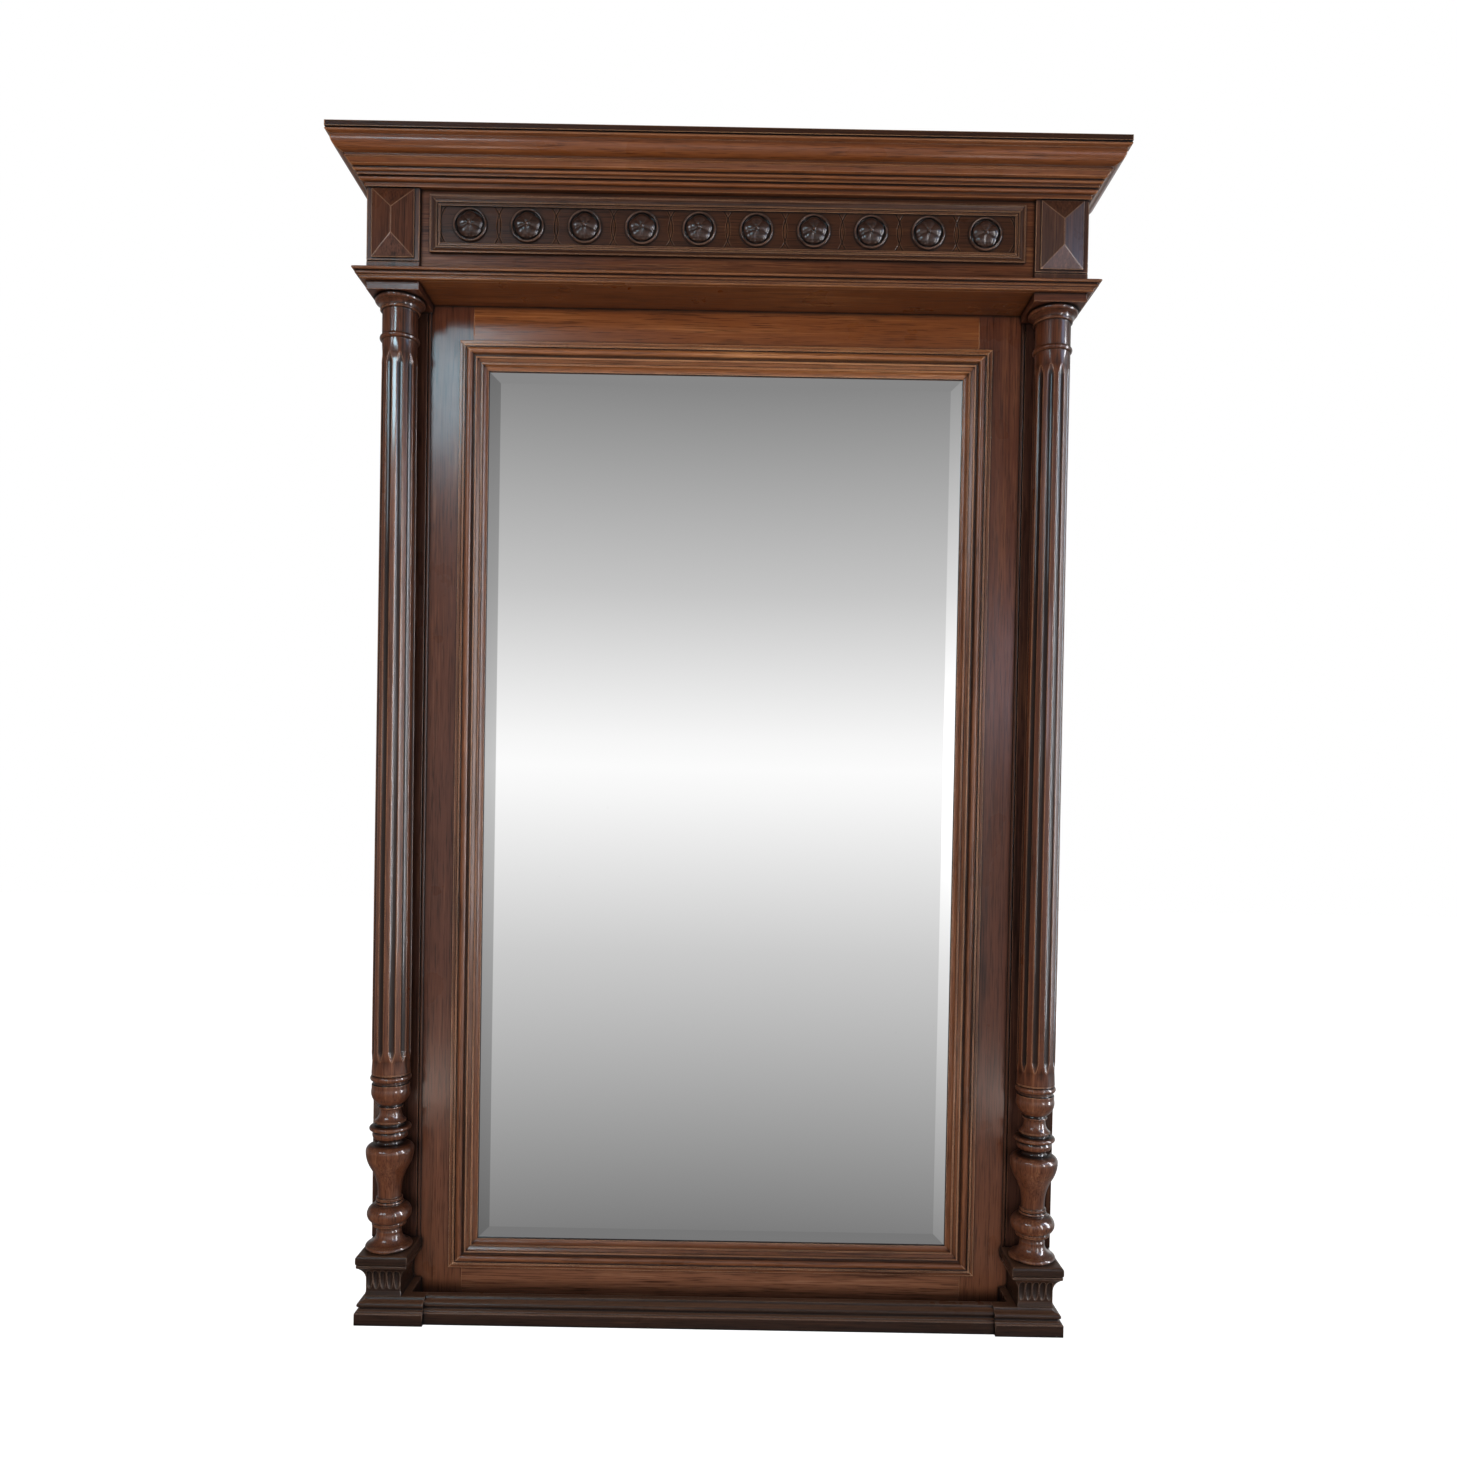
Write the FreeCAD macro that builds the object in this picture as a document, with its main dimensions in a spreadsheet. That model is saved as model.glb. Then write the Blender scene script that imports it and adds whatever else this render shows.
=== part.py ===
import FreeCAD, Part
import math
import os
from types import SimpleNamespace

import Sketcher
from FreeCAD import Placement, Rotation, Vector

# Overmantel mirror of carved walnut: a framed, bevelled mirror between two fluted columns on plinths,
# under a frieze of rosettes and a heavy cornice. Millimetres. X runs to the right, Y towards the wall
# and Z up, from an origin under the middle of the foot. Depths named "depth" are measured forward
# from the face of the frame.

SIZES = {
    # Overall sizes, and the stack of members from the floor up
    "total_height": 1650.0,
    "frame_thickness": 28.0,
    "block_width": 73.0,
    "base_height": 36.0,
    "dado_height": 46.5,
    "cap_height": 14.0,
    "baluster_height": 252.5,
    "abacus_height": 11.5,
    "ledge_height": 14.5,
    "frieze_height": 113.0,
    "cornice_height": 65.0,
    "cornice_projection": 44.0,
    "ledge_projection": 15.6,
    "top_board_thickness": 18.0,
    # Frame joinery
    "crest_rail_height": 60.0,
    "tenon_length": 45.0,
    "tenon_thickness": 9.0,
    "tenon_setback": 8.0,
    "tenon_shoulder": 12.0,
    "joint_fit": 0.15,
    "mortise_gap": 1.0,
    "peg_radius": 4.0,
    "peg_length": 24.0,
    "peg_fit": 0.05,
    # Mirror, its moulding and its back
    "sight_width": 692.0,
    "stile_margin": 39.5,
    "sight_drop": 90.5,
    "sight_rise": 56.5,
    "opening_lap": 21.0,
    "sight_moulding_width": 40.5,
    "sight_moulding_height": 17.5,
    "glass_setback": 8.0,
    "opening_fit": 0.3,
    "glass_thickness": 5.0,
    "glass_edge": 2.5,
    "glass_lap": 9.0,
    "bevel_width": 26.5,
    "rebate_width": 12.0,
    "rebate_depth": 8.0,
    "board_fit": 0.5,
    "glass_block_length": 60.0,
    "screw_radius": 2.0,
    "screw_head_radius": 3.8,
    "screw_head_height": 2.5,
    "screw_length": 16.0,
    # Columns
    "strip_thickness": 3.5,
    "strip_inset": 2.5,
    "strip_bead": 4.2,
    "strip_quirk": 1.0,
    "strip_quirk_depth": 2.1,
    "column_gap": 1.5,
    "dowel_radius": 10.0,
    "dowel_length": 10.0,
    "dowel_fit": 0.1,
    "baluster_radius": 33.5,
    "shaft_foot_radius": 27.0,
    "shaft_neck_radius": 24.3,
    "capital_radius": 34.5,
    "capital_height": 18.0,
    "neck_height": 34.0,
    "annulet_radius": 27.5,
    "annulet_height": 8.0,
    "flute_cutter_radius": 6.5,
    "flute_depth": 2.3,
    "flute_tip": 40.0,
    "flute_margin": 19.0,
    # Plinths and base
    "plinth_base_width": 96.0,
    "plinth_base_depth": 79.0,
    "base_break": 6.0,
    "base_lip": 24.0,
    "base_floor": 10.0,
    "base_relief": 14.0,
    "cap_nose": 4.0,
    "dado_setback": 12.0,
    "dado_flare": 11.0,
    "dado_foot_flare": 1.5,
    "dado_hollow_radius": 24.0,
    "gouge_height": 34.0,
    "gouge_width": 8.4,
    "gouge_depth": 2.6,
    # Frieze
    "frieze_setback": 6.0,
    "frieze_board_thickness": 18.0,
    "field_width": 797.0,
    "field_foot_margin": 41.0,
    "field_head_margin": 21.0,
    "frieze_margin": 13.5,
    "frieze_moulding_width": 14.0,
    "frieze_moulding_height": 5.0,
    "rosette_clearance": 2.0,
    "rosette_end": 41.2,
    "rosette_height": 11.0,
    "petal_cutter_radius": 1.7,
    "arc_radius": 43.0,
    "arc_groove": 1.4,
    "diamond_margin": 7.0,
    "diamond_rise": 17.0,
    "diamond_head_gap": 2.0,
    "diamond_plate": 2.0,
    "diamond_projection": 10.0,
    "diamond_inset": 29.0,
    "diamond_arris": 1.0,
    "block_groove": 1.6,
    "block_groove_rise": 12.0,
    # Hangers let into the back
    "hanger_recess_width": 36.0,
    "hanger_recess_height": 92.0,
    "hanger_recess_depth": 9.0,
    "hanger_drop": 120.0,
    "plate_width": 20.0,
    "plate_height": 40.0,
    "plate_thickness": 1.5,
    "knuckle_radius": 3.1,
    "knuckle_length": 13.0,
    "ring_radius": 2.0,
    "ring_fit": 0.08,
    "ring_half_width": 12.0,
    "ring_drop": 27.0,
    "ring_corner": 5.0,
    # How far every cut runs past the piece it cuts
    "overrun": 2.0,
}

FLUTE_COUNT = 10
PETAL_COUNT = 8
ROSETTE_COUNT = 10
GOUGE_COUNT = 5
FULL_TURN = 360.0
PEG_HEIGHT_SHARES = (0.3, 0.7)
PEG_REACH_SHARE = 0.45
BOARD_SCREW_SHARES = (0.2, 0.8)
SIDE_BLOCK_SHARES = (0.15, 0.5, 0.85)
END_BLOCK_SHARES = (0.2, 0.8)
PLATE_SCREW_SHARES = (0.4, 0.8)
GOUGE_RISE_SHARE = 0.55
DADO_WAIST_SHARES = (0.16, 0.5)
DADO_SHOULDER_SHARE = 0.93
HALF_SHARE = 0.5


class Size:
    """A length known both as a number and as the expression that gives it."""

    def __init__(self, value, text):
        self.value = float(value)
        self.text = text

    def __add__(self, other):
        return Size(self.value + other.value, f"({self.text} + {other.text})")

    def __sub__(self, other):
        return Size(self.value - other.value, f"({self.text} - {other.text})")

    def __neg__(self):
        return Size(-self.value, f"(0 - {self.text})")

    def __mul__(self, share):
        return Size(self.value * share, f"({self.text} * {share})")

    def __truediv__(self, parts):
        return Size(self.value / parts, f"({self.text} / {parts})")

    def of(self, part, whole):
        """This length in the proportion of one length to another."""
        return Size(self.value * part.value / whole.value, f"({self.text} * {part.text} / {whole.text})")

    def or_more(self, other):
        """The larger of this length and another."""
        return Size(max(self.value, other.value), f"max({self.text}; {other.text})")


doc = FreeCAD.newDocument("overmantel_mirror")
sheet = doc.addObject("Spreadsheet::Sheet", "Sizes")
for row, (alias, value) in enumerate(SIZES.items(), start=1):
    sheet.set(f"A{row}", alias)
    sheet.set(f"B{row}", str(value))
    sheet.setAlias(f"B{row}", alias)
doc.recompute()
s = SimpleNamespace(**{alias: Size(value, f"Sizes.{alias}") for alias, value in SIZES.items()})
ZERO = Size(0, "0")

# Widths: the blocks and columns stand clear of the mirror's moulding and of the frieze's, whichever
# reaches farther out
sight_half = s.sight_width / 2
field_half = s.field_width / 2
moulded_half = sight_half + s.sight_moulding_width + s.stile_margin
framed_half = field_half + s.frieze_moulding_width + s.frieze_margin
block_inner = moulded_half.or_more(framed_half)
half_width = block_inner + s.block_width
carcass_width = half_width * 2
column_x = block_inner + s.block_width / 2

# Depths: the column stands clear of the strip behind it, in the middle of a square block
column_depth = s.strip_thickness + s.capital_radius + s.column_gap
block_depth = column_depth + s.block_width / 2
back_y = (s.frame_thickness + block_depth + s.cornice_projection) / 2
face_y = back_y - s.frame_thickness
frieze_depth = block_depth - s.frieze_setback

# Heights of the members
cornice_z = s.total_height - s.cornice_height
ledge_top = cornice_z - s.frieze_height
ledge_z = ledge_top - s.ledge_height
abacus_z = ledge_z - s.abacus_height
cap_z = s.base_height + s.dado_height
cap_top = cap_z + s.cap_height
shaft_z = cap_top + s.baluster_height
shaft_length = abacus_z - shaft_z
carcass_top = s.total_height - s.top_board_thickness
sight_top = ledge_z - s.sight_drop
sight_bottom = s.base_height + s.sight_rise
sight_height = sight_top - sight_bottom
opening_half = sight_half + s.opening_lap
opening_top = sight_top + s.opening_lap
opening_bottom = sight_bottom - s.opening_lap
field_height = s.frieze_height - s.field_foot_margin - s.field_head_margin
field_z = ledge_top + s.field_foot_margin + field_height / 2
rosette_radius = field_height / 2 - s.rosette_clearance
rosette_pitch = (s.field_width - s.rosette_end * 2) / (ROSETTE_COUNT - 1)
diamond_half = s.block_width / 2 - s.diamond_margin
diamond_height = s.frieze_height - s.diamond_rise - s.diamond_head_gap
hanger_x = (opening_half + s.rebate_width + half_width) / 2
hanger_z = opening_top - s.hanger_drop

pieces = []


def front(depth):
    """Y of a plane that lies a depth in front of the face of the frame."""
    return face_y - depth


def bind(item, name, size):
    """Binds one property to a size of the sheet."""
    item.setExpression(name, size.text)


def place(item, x, y, z, rotation=None):
    """Puts an object at a bound place, with a fixed turn."""
    item.Placement = Placement(Vector(x.value, y.value, z.value), rotation or Rotation())
    for axis, size in zip("xyz", (x, y, z)):
        bind(item, f"Placement.Base.{axis}", size)


def finish(item, name):
    """Names a finished piece and lists it for writing."""
    item.Label = name
    pieces.append(item)
    return item


def box(name, corner, length, width, height):
    """A block with its near lower left corner at a place."""
    item = doc.addObject("Part::Box", name)
    for side, size in zip(("Length", "Width", "Height"), (length, width, height)):
        bind(item, side, size)
    place(item, *corner)
    return item


def rod(name, foot, radius, length, rotation=None):
    """A round rod that starts at a place and runs along its own axis."""
    item = doc.addObject("Part::Cylinder", name)
    bind(item, "Radius", radius)
    bind(item, "Height", length)
    place(item, *foot, rotation)
    return item


def fuse(name, items):
    """One solid of several that touch or overlap."""
    item = doc.addObject("Part::MultiFuse", name)
    item.Shapes = items
    item.Refine = True
    return item


def cut(name, base, tools):
    """A solid with one or more tools taken out of it."""
    item = doc.addObject("Part::Cut", name)
    item.Base = base
    item.Tool = tools[0] if len(tools) == 1 else fuse(f"{name}_tools", tools)
    return item


def group(name, items):
    """Separate solids that share one node."""
    item = doc.addObject("Part::Compound", name)
    item.Links = items
    return finish(item, name)


# Rotations that stand a piece's own axes along the axes of the whole: a run along its X, its width
# along its Y and its height along its Z
X, Y, Z = Vector(1, 0, 0), Vector(0, 1, 0), Vector(0, 0, 1)
OUT_OF_WALL = Rotation(X, 90)
ALONG_X = Rotation(Y, 90)
HALF_TURN = Rotation(Z, 180)
ROUND_A_PANEL = {
    "top": Rotation(X, Z, -Y, "XYZ"),
    "bottom": Rotation(-X, -Z, -Y, "XYZ"),
    "left": Rotation(Z, -X, -Y, "XYZ"),
    "right": Rotation(-Z, X, -Y, "XYZ"),
}
ROUND_A_CROWN = {
    "front": Rotation(-X, -Y, Z, "XYZ"),
    "left": Rotation(Y, -X, Z, "XYZ"),
    "right": Rotation(-Y, X, Z, "XYZ"),
}
SIDES = ("left", "right")


def across(side, inner, outer):
    """X where a piece starts that spans from inner to outer on one side of the middle."""
    return inner if side == "right" else -outer


def mirrored(side, x):
    """X of a place on one side of the middle."""
    return x if side == "right" else -x


# Outlines are lists of points (across, up, bend). A bend of None is a straight edge to the next point.
# Otherwise it is an arc: which coordinate of its centre is given, that coordinate, and its turn, +1
# where the arc swells out of the solid and -1 where it hollows it.
def scaled(shares, width, height):
    """An outline from a table of shares of its width and height."""
    points = []
    for across_share, up_share, *bend in shares:
        arc = None
        if bend:
            axis, centre_share, turn = bend
            arc = (axis, (width if axis == "u" else height) * centre_share, turn)
        points.append((width * across_share, height * up_share, arc))
    return points


def arc_centre(start, end, arc):
    """Centre of an arc from its ends and the one coordinate that is given."""
    axis, given, _ = arc
    a, b = (start[0].value, start[1].value), (end[0].value, end[1].value)
    if axis == "v":
        a, b = a[::-1], b[::-1]
    c = given.value
    other = ((a[0] - c) ** 2 - (b[0] - c) ** 2 + a[1] ** 2 - b[1] ** 2) / (2 * (a[1] - b[1]))
    return Vector(c, other, 0) if axis == "u" else Vector(other, c, 0)


def locate(sketch, constraints, bound, geometry, point, axis, size):
    """Ties one coordinate of a point to a size, measured from the sketch's origin."""
    kind, zero_line = ("DistanceX", -2) if axis == "u" else ("DistanceY", -1)
    if size.text == ZERO.text:
        constraints.append(Sketcher.Constraint("PointOnObject", geometry, point, zero_line))
        return
    if size.value < 0:
        size = -size
        constraints.append(Sketcher.Constraint(kind, geometry, point, -1, 1, size.value))
    else:
        constraints.append(Sketcher.Constraint(kind, -1, 1, geometry, point, size.value))
    bound.append((sketch.ConstraintCount + len(constraints) - 1, size))


def draw(sketch, points):
    """Adds one closed outline, every point of it tied to the sheet."""
    first = sketch.GeometryCount
    ends = []
    for number, (u, v, arc) in enumerate(points):
        following = points[(number + 1) % len(points)]
        start, end = Vector(u.value, v.value, 0), Vector(following[0].value, following[1].value, 0)
        if arc is None:
            sketch.addGeometry(Part.LineSegment(start, end))
            ends.append((1, 2))
            continue
        centre = arc_centre((u, v), following, arc)
        circle = Part.Circle(centre, Z, (start - centre).Length)
        begin, stop = (start, end) if arc[2] > 0 else (end, start)
        angles = [math.atan2(p.y - centre.y, p.x - centre.x) for p in (begin, stop)]
        sketch.addGeometry(Part.ArcOfCircle(circle, *angles))
        ends.append((1, 2) if arc[2] > 0 else (2, 1))
    constraints, bound = [], []
    for number, (u, v, arc) in enumerate(points):
        geometry, after = first + number, first + (number + 1) % len(points)
        following = ends[(number + 1) % len(points)]
        constraints.append(Sketcher.Constraint("Coincident", geometry, ends[number][1], after, following[0]))
        locate(sketch, constraints, bound, geometry, ends[number][0], "u", u)
        locate(sketch, constraints, bound, geometry, ends[number][0], "v", v)
        if arc is not None:
            locate(sketch, constraints, bound, geometry, 3, arc[0], arc[1])
    sketch.addConstraint(constraints)
    for index, size in bound:
        bind(sketch, f"Constraints[{index}]", size)


def sketch_on(body, plane, name, outlines, lift=None):
    """A sketch on one of its body's own planes, lifted off it by a bound distance."""
    sketch = body.newObject("Sketcher::SketchObject", name)
    support = next(item for item in body.Origin.OriginFeatures if item.Role == plane)
    sketch.AttachmentSupport = (support, [""])
    sketch.MapMode = "FlatFace"
    if lift is not None:
        bind(sketch, "AttachmentOffset.Base.z", lift)
    for outline in outlines:
        draw(sketch, outline)
    return sketch


def prism(name, plane, outline, length, reverse=False, lift=None):
    """A body of one outline drawn out square to its plane."""
    body = doc.addObject("PartDesign::Body", name)
    pad = body.newObject("PartDesign::Pad", f"{name}_pad")
    pad.Profile = sketch_on(body, plane, f"{name}_outline", [outline], lift)
    pad.Reversed = reverse
    bind(pad, "Length", length)
    body.Tip = pad
    return body


def moulding(name, outline, width, run, start_mitred, end_mitred, corner, rotation):
    """A moulded bar. Its run is its length at the inner edge, and a mitre adds its width to it."""
    start = -width if start_mitred else ZERO
    end = run + width if end_mitred else run
    body = prism(name, "YZ_Plane", outline, end - start, lift=start)
    waste = []
    far = width + s.overrun
    if start_mitred:
        waste.append([(s.overrun, -s.overrun, None), (-far, far, None), (-far, -s.overrun, None)])
    if end_mitred:
        waste.append([(run - s.overrun, -s.overrun, None), (run + far, -s.overrun, None),
                      (run + far, far, None)])
    if waste:
        before = body.Tip
        mitre = body.newObject("PartDesign::Pocket", f"{name}_mitre")
        mitre.Profile = sketch_on(body, "XY_Plane", f"{name}_waste", waste)
        mitre.Type = "ThroughAll"
        mitre.SideType = "Symmetric"
        mitre.BaseFeature = before
        body.Tip = mitre
    place(body, *corner, rotation)
    return finish(body, name)


def turning(name, outline):
    """A turned body, its half outline spun round its own upright axis."""
    body = doc.addObject("PartDesign::Body", name)
    spin = body.newObject("PartDesign::Revolution", f"{name}_spin")
    spin.Profile = sketch_on(body, "XZ_Plane", f"{name}_outline", [outline])
    spin.ReferenceAxis = (spin.Profile[0], ["V_Axis"])
    spin.Angle = FULL_TURN
    body.Tip = spin
    return body


def spindle_cuts(body, name, foot, head, swell, tip, count):
    """Cuts one spindle with tapered tips into a turned body, and repeats it round the axis.

    The spindle turns about the line from foot to head. Swell is the step from that line to its side, and
    tip is the height of each taper.
    """
    rise = tuple(h - f for f, h in zip(foot, head))
    taper = tuple(r.of(tip, rise[1]) for r in rise)
    lower = tuple(f + d + w for f, d, w in zip(foot, taper, swell))
    upper = tuple(h - d + w for h, d, w in zip(head, taper, swell))
    groove = body.newObject("PartDesign::Groove", f"{name}_cut")
    outline = [(*point, None) for point in (foot, lower, upper, head)]
    sketch = sketch_on(body, "XZ_Plane", f"{name}_spindle", [outline])
    axis = sketch.addGeometry(Part.LineSegment(Vector(foot[0].value, foot[1].value, 0),
                                               Vector(head[0].value, head[1].value, 0)), True)
    sketch.addConstraint([Sketcher.Constraint("Coincident", axis, 1, 0, 1),
                          Sketcher.Constraint("Coincident", axis, 2, 3, 1)])
    groove.Profile = sketch
    groove.ReferenceAxis = (sketch, ["Axis0"])
    groove.Angle = FULL_TURN
    pattern = body.newObject("PartDesign::PolarPattern", f"{name}_ring")
    pattern.Originals = [groove]
    upright = next(item for item in body.Origin.OriginFeatures if item.Role == "Z_Axis")
    pattern.Axis = (upright, [""])
    pattern.Angle = FULL_TURN
    pattern.Occurrences = count
    body.Tip = pattern


def common(name, first, second):
    """What two solids share: a block moulded alike on its front and on its sides."""
    item = doc.addObject("Part::Common", name)
    item.Base = first
    item.Tool = second
    return item


# Frame: two stiles, and three rails tenoned and pegged into them
RAILS = {
    "bottom_rail": (ZERO, opening_bottom),
    "top_rail": (opening_top, ledge_top),
    "crest_rail": (carcass_top - s.crest_rail_height, carcass_top),
}


def tenon(name, side, rail, fit, gap):
    """A rail's tenon on one side, or with a fit and a gap the mortise for it."""
    low, high = RAILS[rail]
    start = opening_half - s.overrun
    length = s.tenon_length + s.overrun + gap
    x = across(side, start, start + length)
    y = face_y + s.tenon_setback - fit
    corner = (x, y, low + s.tenon_shoulder - fit)
    height = high - low - s.tenon_shoulder * 2 + fit * 2
    return box(name, corner, length, s.tenon_thickness + fit * 2, height)


def pegs(name, side, rail, fit):
    """The two pegs of one joint, or with a fit the holes for them."""
    low, high = RAILS[rail]
    x = mirrored(side, opening_half + s.tenon_length * PEG_REACH_SHARE)
    items = []
    for number, share in enumerate(PEG_HEIGHT_SHARES):
        foot = (x, back_y, low + (high - low) * share)
        items.append(rod(f"{name}_{number}", foot, s.peg_radius + fit, s.peg_length, OUT_OF_WALL))
    return items


def screw(name, x, y, z, fit):
    """A countersunk screw driven from the back at a place, or with a fit the hole for it."""
    shank = rod(f"{name}_shank", (x, y, z), s.screw_radius + fit, s.screw_length, OUT_OF_WALL)
    head = doc.addObject("Part::Cone", f"{name}_head")
    bind(head, "Radius1", s.screw_head_radius + fit)
    bind(head, "Radius2", s.screw_radius + fit)
    bind(head, "Height", s.screw_head_height)
    place(head, x, y, z, OUT_OF_WALL)
    return fuse(name, [shank, head])


def board_rebate(name):
    """The rebate for the back boards, cut round the opening from behind."""
    half = opening_half + s.rebate_width
    low = opening_bottom - s.rebate_width
    corner = (-half, back_y - s.rebate_depth, low)
    height = opening_top + s.rebate_width - low
    return box(name, corner, half * 2, s.rebate_depth + s.overrun, height)


def board_screws(name, side, fit):
    """The screws along both ends of one back board."""
    items = []
    half = opening_half + s.rebate_width
    for end, z in (("low", opening_bottom - s.rebate_width / 2), ("high", opening_top + s.rebate_width / 2)):
        for number, share in enumerate(BOARD_SCREW_SHARES):
            items.append(screw(f"{name}_{end}_{number}", mirrored(side, half * share), back_y, z, fit))
    return items


def plate_screws(name, side, fit):
    """The two screws of one hanger plate."""
    x, y = mirrored(side, hanger_x), back_y - s.hanger_recess_depth + s.plate_thickness
    heights = [hanger_z + s.plate_height * share for share in PLATE_SCREW_SHARES]
    return [screw(f"{name}_{number}", x, y, z, fit) for number, z in enumerate(heights)]


def stile(side):
    """An upright of the frame, mortised for its rails and let in behind for a hanger."""
    name = f"{side}_stile"
    width = half_width - opening_half
    x = across(side, opening_half, half_width)
    blank = box(f"{name}_blank", (x, face_y, ZERO), width, s.frame_thickness, carcass_top)
    recess_corner = (mirrored(side, hanger_x) - s.hanger_recess_width / 2, back_y - s.hanger_recess_depth,
                     hanger_z - s.hanger_recess_height / 2)
    tools = [box(f"{name}_recess", recess_corner, s.hanger_recess_width,
                 s.hanger_recess_depth + s.overrun, s.hanger_recess_height)]
    tools.append(board_rebate(f"{name}_rebate"))
    tools += plate_screws(f"{name}_pilot", side, s.peg_fit)
    for rail in RAILS:
        tools.append(tenon(f"{name}_{rail}_mortise", side, rail, s.joint_fit, s.mortise_gap))
        tools += pegs(f"{name}_{rail}_peg_hole", side, rail, s.peg_fit)
    finish(cut(name, blank, tools), name)


def rail(name):
    """A rail of the frame with a tenon at each end."""
    low, high = RAILS[name]
    blank = box(f"{name}_blank", (-opening_half, face_y, low), opening_half * 2, s.frame_thickness,
                high - low)
    tenons = [tenon(f"{name}_{side}_tenon", side, name, ZERO, ZERO) for side in SIDES]
    tools = [board_rebate(f"{name}_rebate")]
    for side in SIDES:
        tools += pegs(f"{name}_{side}_peg_hole", side, name, s.peg_fit)
        tools += board_screws(f"{name}_{side}_pilot", side, s.peg_fit)
    finish(cut(name, fuse(f"{name}_body", [blank] + tenons), tools), name)


def frame():
    """The stiles, the rails and the pegs that lock them."""
    for side in SIDES:
        stile(side)
    for name in RAILS:
        rail(name)
    group("frame_pegs", [peg for side in SIDES for name in RAILS
                         for peg in pegs(f"{side}_{name}_peg", side, name, ZERO)])


# Section of the moulding round the mirror, from the sight edge out and from the glass forward
SIGHT_SHARES = [
    (0.0, 0.0), (0.507, 0.0), (0.507, 0.457), (1.0, 0.457), (1.0, 0.6), (0.889, 0.6), (0.889, 0.55),
    (0.852, 0.55), (0.852, 0.8), (0.79, 0.8), (0.765, 0.73), (0.736, 0.73), (0.736, 0.743, "v", 0.743, 1),
    (0.506, 0.743), (0.469, 0.657), (0.432, 0.657), (0.432, 0.72, "v", 0.72, 1), (0.358, 0.72),
    (0.358, 0.63), (0.321, 0.583), (0.235, 0.46), (0.235, 0.526), (0.173, 0.526),
    (0.173, 0.457, "u", 0.0, -1), (0.0, 0.143),
]


def sight_outline():
    """The moulding's section, its back stepped to lie on the frame and drop into the opening."""
    points = scaled(SIGHT_SHARES, s.sight_moulding_width, s.sight_moulding_height)
    lip = s.opening_lap - s.opening_fit
    points[1] = (lip, ZERO, None)
    points[2] = (lip, s.glass_setback, None)
    points[3] = (s.sight_moulding_width, s.glass_setback, None)
    return points


def panel_frame(name, outline, width, across_run, up_run, depth, middle_z):
    """Four mitred bars round a panel, lying on a plane a depth in front of the frame."""
    half, low, high = across_run / 2, middle_z - up_run / 2, middle_z + up_run / 2
    starts = {"top": (-half, high), "bottom": (half, low), "left": (-half, low), "right": (half, high)}
    for edge, (x, z) in starts.items():
        run = across_run if edge in ("top", "bottom") else up_run
        corner = (x, front(depth), z)
        moulding(f"{name}_{edge}", outline, width, run, True, True, corner, ROUND_A_PANEL[edge])


def mirror():
    """The bevelled glass, the moulding in front of it, and the blocks and boards behind it."""
    panel_frame("sight_moulding", sight_outline(), s.sight_moulding_width, s.sight_width, sight_height,
                -s.glass_setback, sight_bottom + sight_height / 2)
    half, low = sight_half + s.glass_lap, sight_bottom - s.glass_lap
    height = sight_height + s.glass_lap * 2
    step = (s.glass_thickness - s.glass_edge).of(s.bevel_width - s.glass_lap, s.bevel_width)
    glass_y = front(step - s.glass_setback - s.joint_fit)
    edge_y = glass_y + s.glass_thickness - s.glass_edge
    slab = box("mirror_glass_slab", (-half, edge_y, low), half * 2, s.glass_edge, height)
    bevel = doc.addObject("Part::Wedge", "mirror_glass_bevel")
    limits = {"Xmin": -half, "Xmax": half, "Ymin": ZERO, "Ymax": s.glass_thickness - s.glass_edge,
              "Zmin": ZERO, "Zmax": height, "X2min": s.bevel_width - half, "X2max": half - s.bevel_width,
              "Z2min": s.bevel_width, "Z2max": height - s.bevel_width}
    for limit, size in limits.items():
        bind(bevel, limit, size)
    place(bevel, ZERO, edge_y, low, HALF_TURN)
    finish(fuse("mirror_glass", [slab, bevel]), "mirror_glass")

    block_y = glass_y + s.glass_thickness
    block_thickness = back_y - s.rebate_depth - block_y
    reach = s.opening_lap - s.opening_fit
    blocks = []
    for side in SIDES:
        for number, share in enumerate(SIDE_BLOCK_SHARES):
            corner = (across(side, sight_half, sight_half + reach), block_y,
                      sight_bottom + sight_height * share - s.glass_block_length / 2)
            name = f"{side}_glass_block_{number}"
            blocks.append(box(name, corner, reach, block_thickness, s.glass_block_length))
    for end, z in (("low", sight_bottom - reach), ("high", sight_top)):
        for number, share in enumerate(END_BLOCK_SHARES):
            corner = (s.sight_width * (share - HALF_SHARE) - s.glass_block_length / 2, block_y, z)
            name = f"{end}_glass_block_{number}"
            blocks.append(box(name, corner, s.glass_block_length, block_thickness, reach))
    group("glass_blocks", blocks)

    board_low = opening_bottom - s.rebate_width + s.board_fit
    board_height = opening_top + s.rebate_width - s.board_fit - board_low
    seam = s.board_fit / 2
    board_width = opening_half + s.rebate_width - s.board_fit - seam
    for side in SIDES:
        name = f"{side}_back_board"
        corner = (across(side, seam, seam + board_width), back_y - s.rebate_depth, board_low)
        blank = box(f"{name}_blank", corner, board_width, s.rebate_depth, board_height)
        finish(cut(name, blank, board_screws(f"{name}_hole", side, s.peg_fit)), name)
    group("back_screws", [item for side in SIDES for item in board_screws(f"{side}_board_screw", side, ZERO)
                          + plate_screws(f"{side}_plate_screw", side, ZERO)])


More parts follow.
